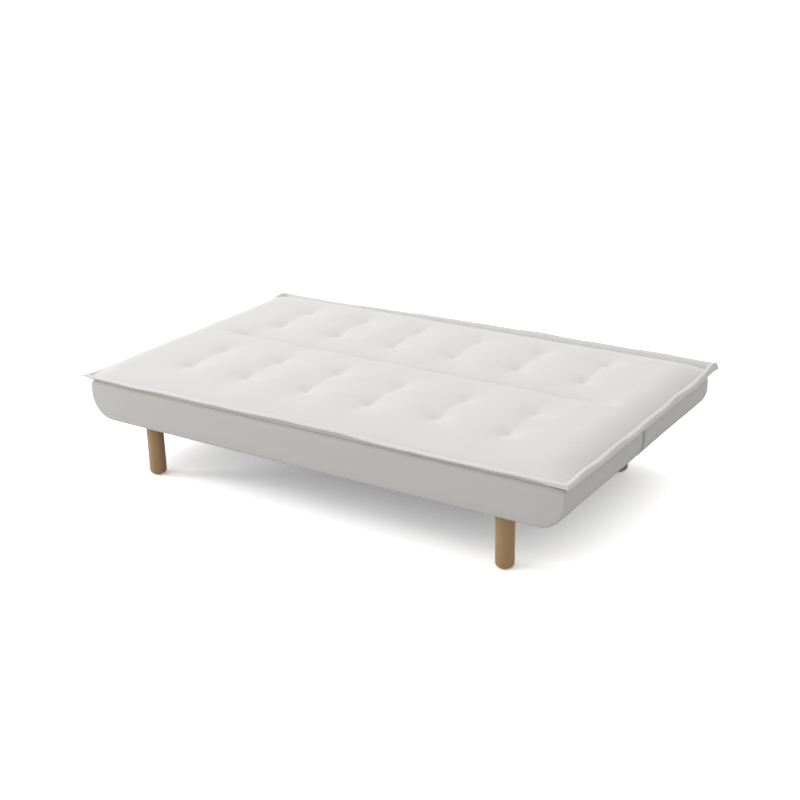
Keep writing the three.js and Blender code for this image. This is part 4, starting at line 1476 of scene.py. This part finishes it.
    def straps(self) -> Piece:
        """Makes the elastic straps, laced over and under each other between the boards.

        Returns:
            All straps as one piece, still without a body.
        """
        low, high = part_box(f"{self.half.body}_webbing")
        middle = (low + high) / 2
        count = int((high.x - low.x - self.strap_width) / self.strap_spacing) + 1
        row_step = (high.y - low.y) / (self.strap_rows + 1)
        xs = [(turn - (count - 1) / 2) * self.strap_spacing for turn in range(count)]
        ys = [middle.y + (turn - (self.strap_rows - 1) / 2) * row_step for turn in range(self.strap_rows)]
        lift = (high.z - low.z - self.strap_thickness) / 2
        half_width = self.strap_width / 2
        along, across, narrow = self.strap_lines
        made = []
        for turn, y in enumerate(ys):
            strap = add_panel("strap", (low.x, y - half_width, middle.z), (high.x, y + half_width, middle.z),
                along, narrow)
            move_points(strap, lambda co, t=turn: (co.x, co.y, co.z + lift * self.lacing(co.x, xs, t)))
            made.append(strap)
        for turn, x in enumerate(xs):
            strap = add_panel("strap", (x - half_width, low.y, middle.z), (x + half_width, high.y, middle.z),
                narrow, across)
            move_points(strap, lambda co, t=turn: (co.x, co.y, co.z - lift * self.lacing(co.y, ys, t)))
            made.append(strap)
        deselect_all()
        for strap in made:
            strap.select_set(True)
        bpy.context.view_layer.objects.active = made[0]
        bpy.ops.object.join()
        piece = settle(bpy.context.object, f"{self.half.body}_straps")
        map_cloth(piece)
        apply_modifier(piece, "SOLIDIFY", thickness=self.strap_thickness, offset=0.0)
        smooth(piece, angle_deg=60.0)
        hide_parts(f"{self.half.body}_webbing")
        return piece

    def lacing(self, place: float, crossings: list[float], turn: int) -> float:
        """How high a strap is at a place, as it passes its crossings by turns.

        Args:
            place: The place along the strap.
            crossings: Where the other straps cross it.
            turn: The strap's number.

        Returns:
            The height, from -1 under to 1 over.
        """
        nearest = min(range(len(crossings)), key=lambda index: abs(crossings[index] - place))
        sign = 1 if (nearest + turn) % 2 else -1
        gap = abs(crossings[nearest] - place)
        return sign * (1 - ease(gap, self.strap_width / 2, self.strap_width * self.strap_slope))


# Legs and metalwork


@dataclass
class Legs:
    """Four turned legs, round at the foot."""

    foot_round: float = 0.015
    foot_steps: int = 9
    top_round: float = 0.002
    top_steps: int = 2
    sides: int = 72
    slice_step: float = 0.02
    wander_share: float = 0.004
    wander: Cloud = Cloud(1.0, 9.0, 1.0)

    def build(self) -> None:
        """Turns one leg for each corner."""
        for row in ("front", "rear"):
            for end in ("right", "left"):
                node = f"leg_{row}_{end}"
                leg = self.turned(node)
                # The leg's wood colour is painted lighter than real wood, standing in for light that the
                # shade under the box keeps off.
                dress(leg, LEG_WOOD_PAINTED_LIGHT)
                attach(leg, "underframe")
                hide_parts(node)
                report(leg)

    def turned(self, node: str) -> Piece:
        """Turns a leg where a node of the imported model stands.

        Args:
            node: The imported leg's name.

        Returns:
            The new leg.
        """
        low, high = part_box(node)
        middle, radius = (low + high) / 2, (high.x - low.x) / 2
        deselect_all()
        bpy.ops.mesh.primitive_cylinder_add(vertices=self.sides, radius=radius, depth=high.z - low.z,
            location=middle, end_fill_type="NGON")
        leg = settle(bpy.context.object, f"turned_{node}")
        for height, size, steps in (
                (low.z, self.foot_round, self.foot_steps), (high.z, self.top_round, self.top_steps)):
            with editing(leg, "EDGE"):
                pick(leg, "edges", lambda edge, h=height: all(abs(v.co.z - h) < NEARLY for v in edge.verts))
                bpy.ops.mesh.bevel(offset=size, segments=steps, profile=0.5, affect="EDGES")
        with editing(leg, "EDGE"):
            slice_evenly(2, low.z + self.foot_round, high.z - self.top_round, self.slice_step)
        axis = Vector((middle.x, middle.y, 0.0))

        def uneven(co: Vector) -> Point:
            """Lets the leg's thickness wander a little, and keeps its height.

            Args:
                co: A vertex's place.

            Returns:
                Its new place.
            """
            x, y, z = axis + (co - axis) * (1 + self.wander_share * self.wander.at(middle.x, co.z))
            return x, y, min(max(z, low.z), high.z)

        move_points(leg, uneven)
        smooth(leg)
        return leg


@dataclass(frozen=True)
class Fitting:
    """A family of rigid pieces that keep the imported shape, with softened edges."""

    names: tuple[str, ...]  # each is a part of its nodes' names
    finish: Finish
    edge: float  # the width of its softened edges
    rounder: int = 0  # levels of subdivision


@dataclass
class Metalwork:
    """The underframe, the hinge mechanism and the small fittings."""

    fittings: tuple[Fitting, ...] = (
        Fitting(("front_rail", "rear_rail", "side_rail"), BLACK_STEEL, 0.0012),
        Fitting(("leg_plate", "hinge_bracket", "seat_arm", "back_arm"), BLACK_STEEL, 0.0006),
        Fitting(("leg_bolt", "pivot_pin", "pivot_nut", "pawl_pin"), ZINC_STEEL, 0.0004),
        Fitting(("pawl_right", "pawl_left"), ZINC_STEEL, 0.0005),
        Fitting(("pawl_spring",), ZINC_STEEL, 0.0, rounder=1),
        Fitting(("leg_glide",), NYLON, 0.0004),
        Fitting(("rest_buffer",), RUBBER, 0.0004),
        Fitting(("inner_board", "outer_board", "middle_rail", "end_rail"), RAW_TIMBER, 0.0008),
    )
    crease_angle_deg: float = 30.0
    flat_angle_deg: float = 1.0

    def build(self) -> None:
        """Makes a finer piece for each packed one."""
        for node, body in self.rigid_nodes():
            fitting = next((f for f in self.fittings if any(name in node for name in f.names)), None)
            if fitting is None:
                continue
            piece = self.refined(node, fitting)
            dress(piece, fitting.finish)
            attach(piece, body)
            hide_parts(node)
            report(piece)

    def rigid_nodes(self) -> list[tuple[str, str]]:
        """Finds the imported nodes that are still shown.

        Returns:
            Each node's name with its body's, in a fixed order.
        """
        groups = frame["record"]["behaviour"]["bodies"]
        pairs = [(node, body) for body, nodes in groups.items() for node in nodes]
        return sorted(pair for pair in pairs if not frame["nodes"][pair[0]].hide_render)

    def refined(self, node: str, fitting: Fitting) -> Piece:
        """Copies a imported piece, merges its faces and softens its edges.

        Args:
            node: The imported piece's name.
            fitting: How its family is finished.

        Returns:
            The new piece.
        """
        piece = bpy.data.objects.new(f"fine_{node}", frame["nodes"][node].data.copy())
        bpy.context.scene.collection.objects.link(piece)
        piece.data.name = piece.name
        with editing(piece, "VERT"):
            bpy.ops.mesh.select_all(action="SELECT")
            bpy.ops.mesh.customdata_custom_splitnormals_clear()
            bpy.ops.mesh.remove_doubles(threshold=MERGE_DISTANCE)
            bpy.ops.mesh.dissolve_limited(angle_limit=math.radians(self.flat_angle_deg))
        if fitting.edge:
            apply_modifier(piece, "BEVEL", width=fitting.edge, segments=2, limit_method="ANGLE",
                angle_limit=math.radians(self.crease_angle_deg), use_clamp_overlap=True)
        if fitting.rounder:
            apply_modifier(piece, "SUBSURF", levels=fitting.rounder, render_levels=fitting.rounder)
        smooth(piece, self.crease_angle_deg)
        return piece


# Studio


@dataclass(frozen=True)
class Lamp:
    """A soft square lamp, aimed at the bed."""

    name: str
    place: Point
    size: float
    power: float
    colour: Colour = (1.0, 1.0, 1.0)


@dataclass
class Studio:
    """The pale floor, the soft light and the camera at the photograph's angle."""

    azimuth_deg: float = 33.16
    elevation_deg: float = 20.78
    roll_deg: float = -1.2
    distance: float = 4.7165
    aim: Point = (0.0156, -0.0106, 0.254)
    lens: float = 60.2145
    sensor: float = 36.0
    floor_size: float = 120.0
    world_strength: float = 0.62
    floor_tone: float = 0.53
    floor_gain: float = 2.2  # for the camera alone, these two lift the floor to white
    floor_glow: float = 0.15
    lamps: tuple[Lamp, ...] = (
        Lamp("key", (-4.6, 6.4, 9.8), 5.4, 450.0, (1.0, 0.998, 0.99)),
        Lamp("front_fill", (-1.8, -4.0, 5.0), 2.2, 28.0, (1.0, 0.998, 0.99)),
        Lamp("left_fill", (-6.8, -3.2, 1.9), 2.4, 158.0, (1.0, 0.995, 0.985)),
    )

    def build(self) -> None:
        """Makes the camera, the light and the floor."""
        self.place_camera()
        self.light()
        self.lay_floor()

    def place_camera(self) -> None:
        """Puts the camera where the photograph was taken from."""
        data = bpy.data.cameras.new("camera")
        data.lens = self.lens
        data.sensor_width = self.sensor
        data.clip_end = self.floor_size
        camera = bpy.data.objects.new("camera", data)
        bpy.context.scene.collection.objects.link(camera)
        azimuth, elevation = math.radians(self.azimuth_deg), math.radians(self.elevation_deg)
        back = Vector((math.sin(azimuth) * math.cos(elevation), -math.cos(azimuth) * math.cos(elevation),
            math.sin(elevation)))
        camera.location = Vector(self.aim) + back * self.distance
        camera.rotation_mode = "QUATERNION"
        level = (-back).to_track_quat("-Z", "Y")
        camera.rotation_quaternion = level @ Quaternion((0, 0, 1), math.radians(self.roll_deg))
        bpy.context.scene.camera = camera

    def light(self) -> None:
        """Sets a plain world and the soft lamps."""
        scene = bpy.context.scene
        scene.view_settings.view_transform = "Standard"
        world = bpy.data.worlds.new("studio")
        scene.world = world
        world.use_nodes = True
        graph = Graph(world.node_tree)
        world.node_tree.nodes.clear()
        shown = self.shown(graph)
        around = graph.add("ShaderNodeBackground", {"Color": (1, 1, 1, 1), "Strength": self.world_strength})
        backdrop = graph.add("ShaderNodeBackground", {"Color": (1, 1, 1, 1), "Strength": 1.0})
        mixed = graph.add("ShaderNodeMixShader", {0: shown, 1: around.outputs[0], 2: backdrop.outputs[0]})
        graph.add("ShaderNodeOutputWorld", {"Surface": mixed.outputs[0]})
        for lamp in self.lamps:
            data = bpy.data.lights.new(lamp.name, "AREA")
            data.shape, data.size = "SQUARE", lamp.size
            data.energy, data.color = lamp.power, lamp.colour
            holder = bpy.data.objects.new(lamp.name, data)
            scene.collection.objects.link(holder)
            holder.location = lamp.place
            holder.rotation_mode = "QUATERNION"
            holder.rotation_quaternion = (Vector(self.aim) - Vector(lamp.place)).to_track_quat("-Z", "Y")

    @staticmethod
    def shown(graph: Graph) -> Socket:
        """Tells the rays that the camera, a mirror or a glass sends out from the light's own.

        Args:
            graph: The tree of a material or of the world.

        Returns:
            One for those rays, and zero for the light's own.
        """
        path = graph.add("ShaderNodeLightPath").outputs
        direct = graph.math("MAXIMUM", path["Is Camera Ray"], path["Is Glossy Ray"])
        return graph.math("MAXIMUM", direct, path["Is Transmission Ray"])

    def lay_floor(self) -> None:
        """Lays a plain white floor, which keeps the bed's shadow."""
        half = self.floor_size / 2
        floor = add_panel("floor", (-half, -half, 0.0), (half, half, 0.0), 1, 1)
        material = bpy.data.materials.new("studio_floor")
        material.use_nodes = True
        material.node_tree.nodes.clear()
        graph = Graph(material.node_tree)
        seen = self.shown(graph)
        white = graph.mix(seen, (self.floor_tone,) * 3, (self.floor_gain,) * 3)
        glow = graph.mix(seen, (0.0, 0.0, 0.0), (self.floor_glow,) * 3)
        matt = graph.add("ShaderNodeBsdfDiffuse", {"Color": white})
        lift = graph.add("ShaderNodeEmission", {"Color": glow})
        both = graph.add("ShaderNodeAddShader", {0: matt.outputs[0], 1: lift.outputs[0]})
        graph.add("ShaderNodeOutputMaterial", {"Surface": both.outputs[0]})
        floor.data.materials.append(material)


def main() -> None:
    """Builds the looks in order."""
    logging.basicConfig(level=logging.INFO, format="%(message)s")
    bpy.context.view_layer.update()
    Studio().build()
    Mattress().build()
    for half in Half:
        UpholsteredBox(half).build()
    Legs().build()
    Metalwork().build()
    bpy.context.view_layer.update()


if __name__ == "__main__":
    main()
